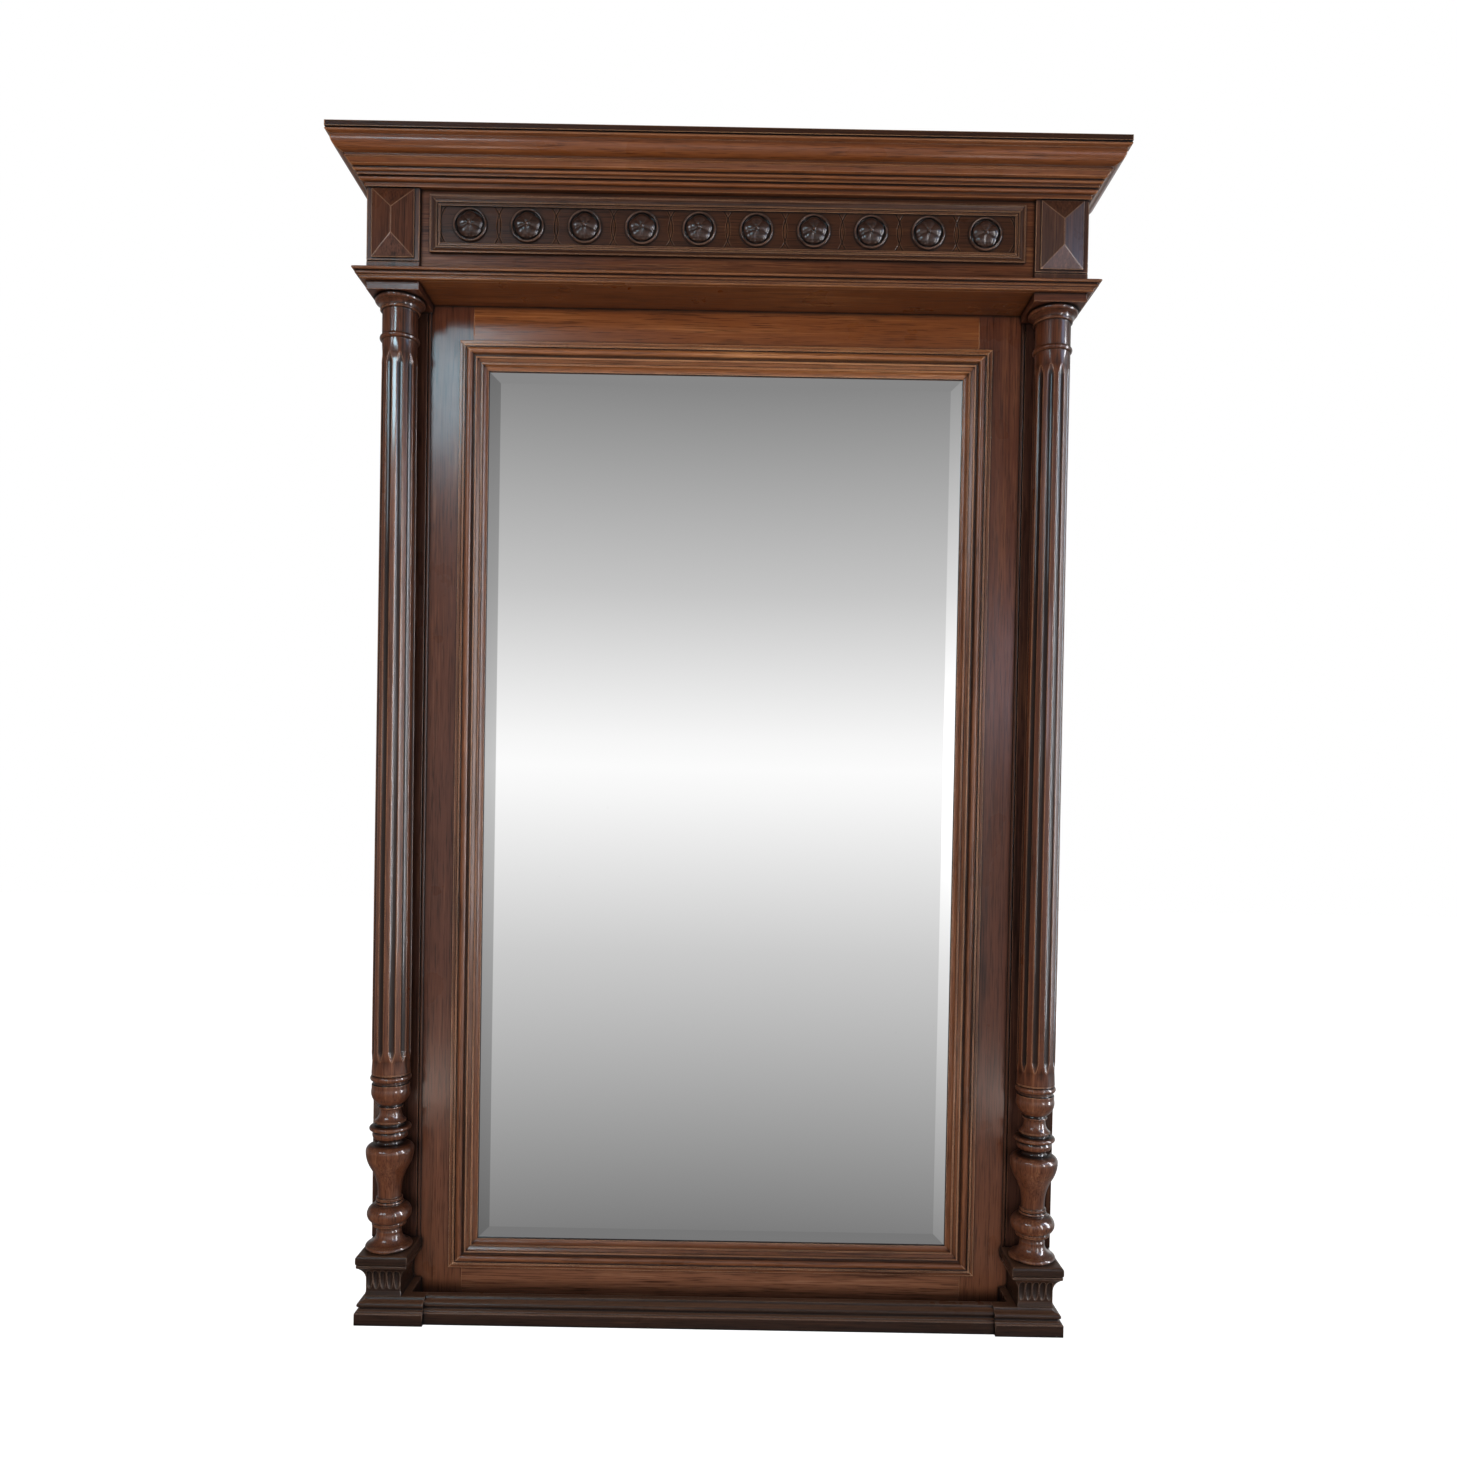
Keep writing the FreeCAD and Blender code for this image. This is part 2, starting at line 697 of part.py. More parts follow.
# Half outline of the turned baluster, as shares of its radius and height
BALUSTER_SHARES = [
    (0.0, 0.0), (0.867, 0.0, "u", 0.867, 1), (0.867, 0.03), (0.88, 0.031, "u", 1.015, -1), (0.53, 0.101),
    (0.507, 0.112), (0.507, 0.135), (0.716, 0.138), (0.716, 0.153), (0.7, 0.155, "u", 0.531, 1),
    (0.7, 0.249), (0.62, 0.252), (0.567, 0.256, "u", 0.5, 1), (0.567, 0.271), (0.5, 0.274),
    (0.552, 0.277), (0.552, 0.29), (0.487, 0.294), (0.487, 0.317, "u", 2.612, -1),
    (0.794, 0.463, "u", -0.412, 1),
    (1.0, 0.56, "u", 0.745, 1), (0.716, 0.594), (0.537, 0.598, "u", 0.6, -1), (0.537, 0.625),
    (0.68, 0.632, "u", 0.5, 1), (0.68, 0.674),
    (0.776, 0.677, "u", 0.776, 1), (0.776, 0.701), (0.567, 0.705), (0.567, 0.718), (0.657, 0.721),
    (0.657, 0.729), (0.62, 0.731, "u", 1.0, -1), (0.448, 0.792), (0.448, 0.798), (0.47, 0.8, "u", 0.47, 1),
    (0.47, 0.814), (0.45, 0.82, "u", 0.18, 1), (0.79, 0.915), (0.79, 0.938), (0.72, 0.942), (0.72, 0.953),
    (0.715, 0.956, "u", 0.715, 1), (0.715, 0.992), (0.8, 0.994), (0.8, 1.0), (0.0, 1.0),
]


# Half outline of the capital, from the neck up: ring, hollow and bead, as shares of its radius and height
CAPITAL_SHARES = [
    (0.74, 0.0), (0.79, 0.06), (0.79, 0.22), (0.75, 0.26), (0.76, 0.3, "u", 0.95, -1), (0.9, 0.58),
    (0.896, 0.6, "u", 0.896, 1), (0.896, 1.0),
]


def column_outline():
    """Half outline of the fluted shaft: socket, taper, annulet, neck, capital and dowel."""
    top = shaft_length
    capital_foot = top - s.capital_height
    annulet_top = capital_foot - s.neck_height
    annulet_foot = annulet_top - s.annulet_height
    socket = s.dowel_radius + s.dowel_fit
    roof = s.dowel_length + s.mortise_gap
    bead = s.annulet_radius - s.annulet_height / 2
    capital = scaled(CAPITAL_SHARES, s.capital_radius, s.capital_height)
    return [
        (ZERO, roof, None), (socket, roof, None), (socket, ZERO, None), (s.shaft_foot_radius, ZERO, None),
        (s.shaft_neck_radius, annulet_foot, None), (bead, annulet_foot, ("u", bead, 1)),
        (bead, annulet_top, None), (s.shaft_neck_radius, annulet_top, None),
        (s.shaft_neck_radius, capital_foot, None),
        *((u, capital_foot + v, bend) for u, v, bend in capital),
        (s.dowel_radius, top, None), (s.dowel_radius, top + s.dowel_length, None),
        (ZERO, top + s.dowel_length, None),
    ]


def baluster_outline():
    """Half outline of the baluster, with a dowel at its foot and one at its head."""
    points = scaled(BALUSTER_SHARES, s.baluster_radius, s.baluster_height)
    head = s.baluster_height + s.dowel_length
    foot = [(ZERO, -s.dowel_length, None), (s.dowel_radius, -s.dowel_length, None),
            (s.dowel_radius, ZERO, None)]
    return foot + points[1:-1] + [(s.dowel_radius, s.baluster_height, None), (s.dowel_radius, head, None),
                                  (ZERO, head, None)]


def strip_outline():
    """Section of the strip behind a column, with a quirked bead along its inner edge."""
    width, thick = s.block_width - s.strip_inset, s.strip_thickness
    quirk, floor = s.strip_bead + s.strip_quirk, thick - s.strip_quirk_depth
    bead = ("v", floor, 1)
    return [(ZERO, ZERO, None), (width, ZERO, None), (width, thick, None), (quirk, thick, None),
            (quirk, floor, None), (s.strip_bead, floor, bead), (ZERO, floor, None)]


def column(side):
    """One column: its back strip, abacus, fluted shaft and baluster."""
    x, y = mirrored(side, column_x), front(column_depth)
    strip_corner = (mirrored(side, block_inner + s.strip_inset), face_y,
                    cap_top if side == "left" else ledge_z)
    moulding(f"{side}_back_strip", strip_outline(), s.block_width, ledge_z - cap_top, False, False,
             strip_corner, ROUND_A_PANEL[side])

    abacus_corner = (across(side, block_inner, half_width), front(block_depth), abacus_z)
    abacus = box(f"{side}_abacus_slab", abacus_corner, s.block_width, block_depth - s.strip_thickness,
                 s.abacus_height)
    hole = rod(f"{side}_abacus_hole", (x, y, abacus_z - s.overrun), s.dowel_radius + s.dowel_fit,
               s.dowel_length + s.mortise_gap + s.overrun)
    finish(cut(f"{side}_abacus", abacus, [hole]), f"{side}_abacus")

    shaft = turning(f"{side}_column_shaft", column_outline())
    flute_offset = s.flute_cutter_radius - s.flute_depth
    hidden_tip = s.flute_tip.of(flute_offset, s.flute_cutter_radius)
    annulet_foot = shaft_length - s.capital_height - s.neck_height - s.annulet_height
    foot = (s.shaft_foot_radius + flute_offset, s.flute_margin - hidden_tip)
    head = (s.shaft_neck_radius + flute_offset, annulet_foot - s.flute_margin + hidden_tip)
    flute_side = (-s.flute_cutter_radius, ZERO)
    spindle_cuts(shaft, f"{side}_flute", foot, head, flute_side, s.flute_tip, FLUTE_COUNT)
    place(shaft, x, y, shaft_z)
    finish(shaft, f"{side}_column_shaft")

    baluster = turning(f"{side}_baluster", baluster_outline())
    place(baluster, x, y, cap_top)
    finish(baluster, f"{side}_baluster")


# Front of the base moulding from the floor up: plain foot, fillet, quirk, bead and hollow, as shares of
# its relief, counted back from its foremost face, and of its height
BASE_SHARES = [
    (0.0, 0.0), (0.0, 0.46), (0.15, 0.49), (0.15, 0.54), (0.45, 0.57), (0.45, 0.66, "u", 0.45, 1),
    (0.45, 0.86), (0.55, 0.87, "u", 0.55, -1), (0.93, 1.0),
]


def base_outline(depth):
    """Section of the base moulding, from its back forward."""
    front_edge = []
    for u, v, bend in scaled(BASE_SHARES, s.base_relief, s.base_height):
        front_edge.append((depth - u, v, None if bend is None else (bend[0], depth - bend[1], bend[2])))
    return [(ZERO, ZERO, None), *front_edge, (ZERO, s.base_height, None)]


def channel_depth():
    """Depth of the channel along the top of the base, between the frame and the moulded lip."""
    return s.plinth_base_depth - s.base_break - s.base_lip


def nosed_outline(reach, start, inset):
    """Section of a slab with a rounded nose, from a starting edge forward."""
    height = s.cap_height
    bend = ("u", reach - inset, 1)
    return [(start, ZERO, None), (reach - inset, ZERO, bend), (reach, inset, None),
            (reach, height - inset, bend), (reach - inset, height, None), (start, height, None)]


def hollow_side(reach):
    """Upper edge points of a hollowed side of the dado, from its foot up."""
    centre = ("u", reach + s.dado_hollow_radius, -1)
    shoulder = s.dado_height * DADO_SHOULDER_SHARE
    low, high = (s.dado_height * share for share in DADO_WAIST_SHARES)
    return [(reach + s.dado_foot_flare, ZERO, None), (reach, low, None), (reach, high, centre),
            (reach + s.dado_flare, shoulder, None), (reach + s.dado_flare, s.dado_height, None)]


def both_sides(points):
    """An outline that is alike on both sides of the middle, from the points of its right side."""
    left = []
    for number, (u, v, _) in reversed(list(enumerate(points))):
        arc = points[number - 1][2] if number else None
        left.append((-u, v, None if arc is None else (arc[0], -arc[1], arc[2])))
    return points + left


def plinth(side):
    """One plinth: a moulded base, a hollowed dado with carved gouges, and a nosed cap."""
    x = mirrored(side, column_x)
    base_inner = half_width - s.plinth_base_width

    base_width, base_depth = s.plinth_base_width, s.plinth_base_depth
    front_run = prism(f"{side}_plinth_base_front", "YZ_Plane", base_outline(base_depth), base_width)
    side_run = prism(f"{side}_plinth_base_side", "XZ_Plane", base_outline(base_width), base_depth)
    place(front_run, half_width if side == "right" else -base_inner, face_y, ZERO, HALF_TURN)
    if side == "right":
        place(side_run, base_inner, face_y, ZERO)
    else:
        place(side_run, -base_inner, front(base_depth), ZERO, HALF_TURN)
    blank = common(f"{side}_plinth_base_blank", front_run, side_run)
    start, end = base_inner - s.overrun, block_inner
    channel_corner = (across(side, start, end), front(channel_depth()), s.base_floor)
    channel = box(f"{side}_plinth_base_channel", channel_corner, end - start,
                  channel_depth() + s.overrun, s.base_height)
    finish(cut(f"{side}_plinth_base", blank, [channel]), f"{side}_plinth_base")

    dado_depth = block_depth - s.dado_setback
    dado_half = s.block_width / 2 - s.dado_setback
    dado_front = [(ZERO, ZERO, None)] + hollow_side(dado_depth) + [(ZERO, s.dado_height, None)]
    width = (dado_half + s.dado_flare) * 2
    front_run = prism(f"{side}_dado_front", "YZ_Plane", dado_front, width)
    dado_side = both_sides(hollow_side(dado_half))
    side_run = prism(f"{side}_dado_side", "XZ_Plane", dado_side, block_depth)
    place(front_run, x + width / 2, face_y, s.base_height, HALF_TURN)
    place(side_run, x, face_y, s.base_height)
    gouges = []
    for number in range(GOUGE_COUNT):
        step = (number + HALF_SHARE) / GOUGE_COUNT - HALF_SHARE
        gouge = doc.addObject("Part::Ellipsoid", f"{side}_gouge_{number}")
        bind(gouge, "Radius1", s.gouge_height / 2)
        bind(gouge, "Radius2", s.gouge_width / 2)
        bind(gouge, "Radius3", s.gouge_width / 2)
        place(gouge, x + dado_half * 2 * step, front(dado_depth + s.gouge_width / 2 - s.gouge_depth),
              s.base_height + s.dado_height * GOUGE_RISE_SHARE)
        gouges.append(gouge)
    finish(cut(f"{side}_plinth_dado", common(f"{side}_dado_block", front_run, side_run), gouges),
           f"{side}_plinth_dado")

    half = s.block_width / 2
    cap_front = nosed_outline(block_depth, ZERO, s.cap_nose)
    cap_side = both_sides(nosed_outline(half, ZERO, s.cap_nose)[1:-1])
    front_run = prism(f"{side}_cap_front", "YZ_Plane", cap_front, s.block_width)
    side_run = prism(f"{side}_cap_side", "XZ_Plane", cap_side, block_depth)
    place(front_run, x + half, face_y, cap_z, HALF_TURN)
    place(side_run, x, face_y, cap_z)
    hole = rod(f"{side}_cap_hole", (x, front(column_depth), cap_top - s.dowel_length - s.mortise_gap),
               s.dowel_radius + s.dowel_fit, s.dowel_length + s.mortise_gap + s.overrun)
    slab = common(f"{side}_cap_slab", front_run, side_run)
    finish(cut(f"{side}_plinth_cap", slab, [hole]), f"{side}_plinth_cap")


def base_board():
    """The moulded board between the plinths, with a channel behind its lip where the frame stands back."""
    half = half_width - s.plinth_base_width
    depth = s.plinth_base_depth - s.base_break
    lip_back = channel_depth()
    outline = base_outline(depth)[:-1] + [(lip_back, s.base_height, None), (lip_back, s.base_floor, None),
                                          (ZERO, s.base_floor, None)]
    moulding("base_board", outline, depth, half * 2, False, False, (half, face_y, ZERO),
             ROUND_A_CROWN["front"])


# Sections of the ledge and the cornice, as shares of projection and height, from the foot up
LEDGE_SHARES = [
    (0.0, 0.0), (0.385, 0.0), (0.48, 0.07), (0.48, 0.2), (0.58, 0.28), (0.58, 0.345), (0.77, 0.365),
    (0.77, 0.525), (0.7, 0.58), (0.7, 0.65), (0.872, 0.662, "u", 0.872, 1), (0.872, 0.938), (0.8, 0.94),
    (0.8, 1.0), (0.0, 1.0),
]
CORNICE_SHARES = [
    (0.0, 0.0), (0.07, 0.0), (0.07, 0.085), (0.136, 0.092, "u", 0.136, 1), (0.136, 0.185), (0.25, 0.19),
    (0.25, 0.24), (0.295, 0.246, "u", 0.295, 1), (0.295, 0.315), (0.375, 0.33), (0.43, 0.354), (0.51, 0.446),
    (0.557, 0.454), (0.557, 0.508), (0.625, 0.523, "u", 0.568, 1), (0.875, 0.738), (0.875, 0.777),
    (0.955, 0.808, "u", 0.955, 1), (0.955, 0.862), (0.93, 0.877), (1.0, 0.885), (1.0, 1.0), (0.0, 1.0),
]


def crown(name, outline, projection, z):
    """A moulding across the front with a mitred return down each side to the wall."""
    depth = block_depth + s.frame_thickness
    moulding(f"{name}_front", outline, projection, carcass_width, True, True,
             (half_width, front(block_depth), z), ROUND_A_CROWN["front"])
    moulding(f"{name}_left_return", outline, projection, depth, True, False,
             (-half_width, front(block_depth), z), ROUND_A_CROWN["left"])
    moulding(f"{name}_right_return", outline, projection, depth, False, True,
             (half_width, back_y, z), ROUND_A_CROWN["right"])


# Section of the moulding round the frieze panel, from its inner edge out and from the board forward
FRIEZE_SHARES = [
    (0.0, 0.0), (1.0, 0.0), (1.0, 1.0), (0.857, 1.0, "u", 0.464, -1), (0.464, 0.36), (0.464, 0.52),
    (0.32, 0.52), (0.32, 0.24), (0.23, 0.24), (0.23, 0.4), (0.0, 0.4),
]
# Half outline of a rosette: ringed rim, dome and button, as shares of its radius and height
ROSETTE_SHARES = [
    (0.0, 0.0), (1.0, 0.0), (1.0, 0.18, "v", 0.18, 1), (0.872, 0.18), (0.872, 0.1), (0.834, 0.1),
    (0.834, 0.2, "u", 0.0, 1), (0.136, 0.8), (0.136, 0.836, "u", 0.0, 1), (0.0, 1.0),
]
PETAL_FOOT_SHARES = (0.86, 0.3)
PETAL_HEAD_SHARES = (0.17, 0.93)
PETAL_TIP_SHARE = 0.19


def rosette_x(number):
    """X of one rosette in the row."""
    return rosette_pitch * (number - (ROSETTE_COUNT - 1) / 2)


def rosette(number):
    """One carved rosette, its dome parted into petals."""
    name = f"rosette_{number + 1:02d}"
    body = turning(name, scaled(ROSETTE_SHARES, rosette_radius, s.rosette_height))
    ends = [(rosette_radius * u, s.rosette_height * v) for u, v in (PETAL_FOOT_SHARES, PETAL_HEAD_SHARES)]
    petal_side, petal_tip = (ZERO, -s.petal_cutter_radius), s.rosette_height * PETAL_TIP_SHARE
    spindle_cuts(body, f"{name}_petal", *ends, petal_side, petal_tip, PETAL_COUNT)
    place(body, rosette_x(number), front(frieze_depth), field_z, OUT_OF_WALL)
    finish(body, name)


def frieze():
    """The frieze board with its engraved circles, the framed panel, its rosettes and the corner blocks."""
    height = carcass_top - ledge_top
    rest = cornice_z - ledge_top
    thick = s.frieze_board_thickness
    step = thick + s.frieze_setback
    outline = [(ZERO, ZERO, None), (thick, ZERO, None), (thick, rest, None), (step, rest, None),
               (step, height, None), (ZERO, height, None)]
    board = prism("frieze_board_blank", "YZ_Plane", outline, block_inner * 2)
    place(board, block_inner, front(frieze_depth - thick), ledge_top, HALF_TURN)
    rings = []
    for number in range(ROSETTE_COUNT):
        foot = (rosette_x(number), front(frieze_depth) + s.arc_groove, field_z)
        sunk = s.arc_groove + s.overrun
        outer = rod(f"arc_{number}_outer", foot, s.arc_radius, sunk, OUT_OF_WALL)
        inner = rod(f"arc_{number}_inner", foot, s.arc_radius - s.arc_groove, sunk, OUT_OF_WALL)
        rings.append(cut(f"arc_{number}", outer, [inner]))
    field_corner = (-field_half, front(frieze_depth + s.overrun), field_z - field_height / 2)
    field = box("frieze_field", field_corner, s.field_width, s.overrun * 2 + s.arc_groove, field_height)
    engraving = common("frieze_engraving", fuse("arc_rings", rings), field)
    finish(cut("frieze_board", board, [engraving]), "frieze_board")

    panel_frame("frieze_moulding", scaled(FRIEZE_SHARES, s.frieze_moulding_width, s.frieze_moulding_height),
                s.frieze_moulding_width, s.field_width, field_height, frieze_depth, field_z)
    for number in range(ROSETTE_COUNT):
        rosette(number)
    for side in SIDES:
        corner_block(side)


def corner_block(side):
    """The block over one column, with the diamond point planted on it."""
    name = f"{side}_corner_block"
    x0 = across(side, block_inner, half_width)
    blank = box(f"{name}_blank", (x0, front(block_depth), ledge_top), s.block_width, block_depth,
                carcass_top - ledge_top)
    groove_corner = (x0 - s.overrun, front(block_depth + s.overrun), ledge_top + s.block_groove_rise)
    groove = box(f"{name}_groove", groove_corner, s.block_width + s.overrun * 2, s.overrun + s.block_groove,
                 s.block_groove)
    finish(cut(name, blank, [groove]), name)

    name = f"{side}_diamond_point"
    x, z = mirrored(side, column_x), ledge_top + s.diamond_rise
    plate_corner = (x - diamond_half, front(block_depth + s.diamond_plate), z)
    plate = box(f"{name}_plate", plate_corner, diamond_half * 2, s.diamond_plate, diamond_height)
    point = doc.addObject("Part::Wedge", f"{name}_point")
    limits = {"Xmin": -diamond_half, "Xmax": diamond_half, "Ymin": ZERO, "Ymax": s.diamond_projection,
              "Zmin": ZERO, "Zmax": diamond_height,
              "X2min": -s.diamond_arris / 2, "X2max": s.diamond_arris / 2,
              "Z2min": s.diamond_inset, "Z2max": diamond_height - s.diamond_inset}
    for limit, size in limits.items():
        bind(point, limit, size)
    place(point, x, front(block_depth + s.diamond_plate), z, HALF_TURN)
    finish(fuse(name, [plate, point]), name)


def entablature():
    """The ledge, the frieze and the cornice under its top board."""
    ledge = box("ledge_board", (-half_width, front(block_depth), ledge_z), carcass_width, block_depth,
                s.ledge_height)
    finish(ledge, "ledge_board")
    ledge_section = scaled(LEDGE_SHARES, s.ledge_projection, s.ledge_height)
    crown("ledge", ledge_section, s.ledge_projection, ledge_z)
    frieze()
    cornice_section = scaled(CORNICE_SHARES, s.cornice_projection, s.cornice_height)
    crown("cornice", cornice_section, s.cornice_projection, cornice_z)
    top = box("top_board", (-half_width, front(block_depth), carcass_top), carcass_width,
              block_depth + s.frame_thickness, s.top_board_thickness)
    finish(top, "top_board")


def ring_path():
    """Centre line of a hanging ring, from the middle of its bar round and back."""
    half, drop, corner = s.ring_half_width, s.ring_drop, s.ring_corner
    flat, low = half - corner, corner - drop
    right, left = ("u", flat, -1), ("u", -flat, -1)
    return [(ZERO, ZERO, None), (flat, ZERO, right), (half, -corner, None), (half, low, right),
            (flat, -drop, None), (-flat, -drop, left), (-half, low, None), (-half, -corner, left),
            (-flat, ZERO, None)]


def hangers():
    """The two strap plates in the back and the rings that swing in their knuckles."""
    plates = []
    floor = back_y - s.hanger_recess_depth
    pin_y = floor + s.knuckle_radius
    for side in SIDES:
        x = mirrored(side, hanger_x)
        name = f"{side}_hanger_plate"
        plate_corner = (x - s.plate_width / 2, floor, hanger_z)
        plate = box(f"{name}_strap", plate_corner, s.plate_width, s.plate_thickness, s.plate_height)
        knuckle_start = (x - s.knuckle_length / 2, pin_y, hanger_z)
        barrel = rod(f"{name}_knuckle", knuckle_start, s.knuckle_radius, s.knuckle_length, ALONG_X)
        bore_start = (x - s.ring_half_width - s.overrun, pin_y, hanger_z)
        bore_length = (s.ring_half_width + s.overrun) * 2
        bore = rod(f"{name}_bore", bore_start, s.ring_radius + s.ring_fit, bore_length, ALONG_X)
        body = fuse(f"{name}_blank", [plate, barrel])
        plates.append(cut(name, body, [bore] + plate_screws(f"{name}_hole", side, s.peg_fit)))

        ring = doc.addObject("PartDesign::Body", f"{side}_hanger_ring")
        path = sketch_on(ring, "XZ_Plane", f"{side}_ring_path", [ring_path()])
        wire = ring.newObject("Sketcher::SketchObject", f"{side}_ring_wire")
        wire.AttachmentSupport = (next(i for i in ring.Origin.OriginFeatures if i.Role == "YZ_Plane"), [""])
        wire.MapMode = "FlatFace"
        wire.addGeometry(Part.Circle(Vector(), Z, s.ring_radius.value))
        wire.addConstraint([Sketcher.Constraint("Coincident", 0, 3, -1, 1),
                            Sketcher.Constraint("Radius", 0, s.ring_radius.value)])
        bind(wire, "Constraints[1]", s.ring_radius)
        pipe = ring.newObject("PartDesign::AdditivePipe", f"{side}_ring_pipe")
        pipe.Profile = wire
        pipe.Spine = path
        ring.Tip = pipe
        place(ring, x, pin_y, hanger_z)
        finish(ring, f"{side}_hanger_ring")
    group("hanger_plates", plates)


def check_model():
    """Stops on any object that failed, or a piece that is empty, broken or shares a name."""
    failed = [item.Name for item in doc.Objects if "Invalid" in item.State or "Error" in item.State]
    bad = [item.Label for item in pieces
           if item.Shape.isNull() or not item.Shape.isValid() or not item.Shape.Solids]
    labels = [item.Label for item in pieces]
    if failed or bad or len(set(labels)) != len(labels):
        raise RuntimeError(f"failed {failed}, bad {bad}, labels {len(set(labels))} of {len(labels)}")


def write_pieces():
    """Writes each piece to a file named after it."""
    os.makedirs("parts", exist_ok=True)
    for item in pieces:
        item.Shape.exportStep(f"parts/{item.Label}.step")
    print(f"{len(pieces)} pieces written")


frame()
mirror()
for column_side in SIDES:
    column(column_side)
    plinth(column_side)
base_board()
entablature()
hangers()
doc.recompute()
check_model()
write_pieces()
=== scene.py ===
import logging
import math
from dataclasses import dataclass, replace
from enum import Enum
from typing import Any

import bmesh
import bpy
from mathutils import Matrix, Vector


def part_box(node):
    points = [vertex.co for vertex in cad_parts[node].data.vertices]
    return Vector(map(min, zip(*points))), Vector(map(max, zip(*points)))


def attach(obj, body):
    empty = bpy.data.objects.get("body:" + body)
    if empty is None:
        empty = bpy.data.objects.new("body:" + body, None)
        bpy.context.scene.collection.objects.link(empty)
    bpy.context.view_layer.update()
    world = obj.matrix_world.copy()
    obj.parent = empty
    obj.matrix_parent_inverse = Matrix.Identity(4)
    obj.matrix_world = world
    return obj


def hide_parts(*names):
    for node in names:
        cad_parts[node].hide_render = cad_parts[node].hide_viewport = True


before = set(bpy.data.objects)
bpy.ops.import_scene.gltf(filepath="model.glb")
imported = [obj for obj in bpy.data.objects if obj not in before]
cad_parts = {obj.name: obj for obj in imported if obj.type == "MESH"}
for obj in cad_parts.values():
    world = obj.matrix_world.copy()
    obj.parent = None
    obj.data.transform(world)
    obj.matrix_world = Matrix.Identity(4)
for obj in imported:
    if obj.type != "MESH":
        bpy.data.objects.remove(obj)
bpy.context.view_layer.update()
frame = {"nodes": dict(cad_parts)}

log = logging.getLogger("overmantel_mirror")

Colour = tuple[float, float, float]
WHITE: Colour = (1.0, 1.0, 1.0)

SCREEN_FULL = 255
SCREEN_KNEE = 0.04045
SCREEN_SLOPE = 12.92
SCREEN_LIFT = 0.055
SCREEN_POWER = 2.4


def linear(value: int) -> float:
    """Turns one channel as a screen shows it, 0 to 255, into linear light.

    Args:
        value: The screen's value.

    Returns:
        The light, from 0 to 1.
    """
    share = value / SCREEN_FULL
    if share <= SCREEN_KNEE:
        return share / SCREEN_SLOPE
    return ((share + SCREEN_LIFT) / (1 + SCREEN_LIFT)) ** SCREEN_POWER


def tone(red: int, green: int, blue: int) -> Colour:
    """Turns a colour as a screen shows it into linear light."""
    return linear(red), linear(green), linear(blue)


class Grain(Enum):
    """The way the wood's fibres run."""

    ACROSS = 0
    DEEP = 1
    UPRIGHT = 2


class Stop(Enum):
    """How a colour ramp goes from one stop to the next."""

    LINEAR = "LINEAR"
    EASE = "EASE"


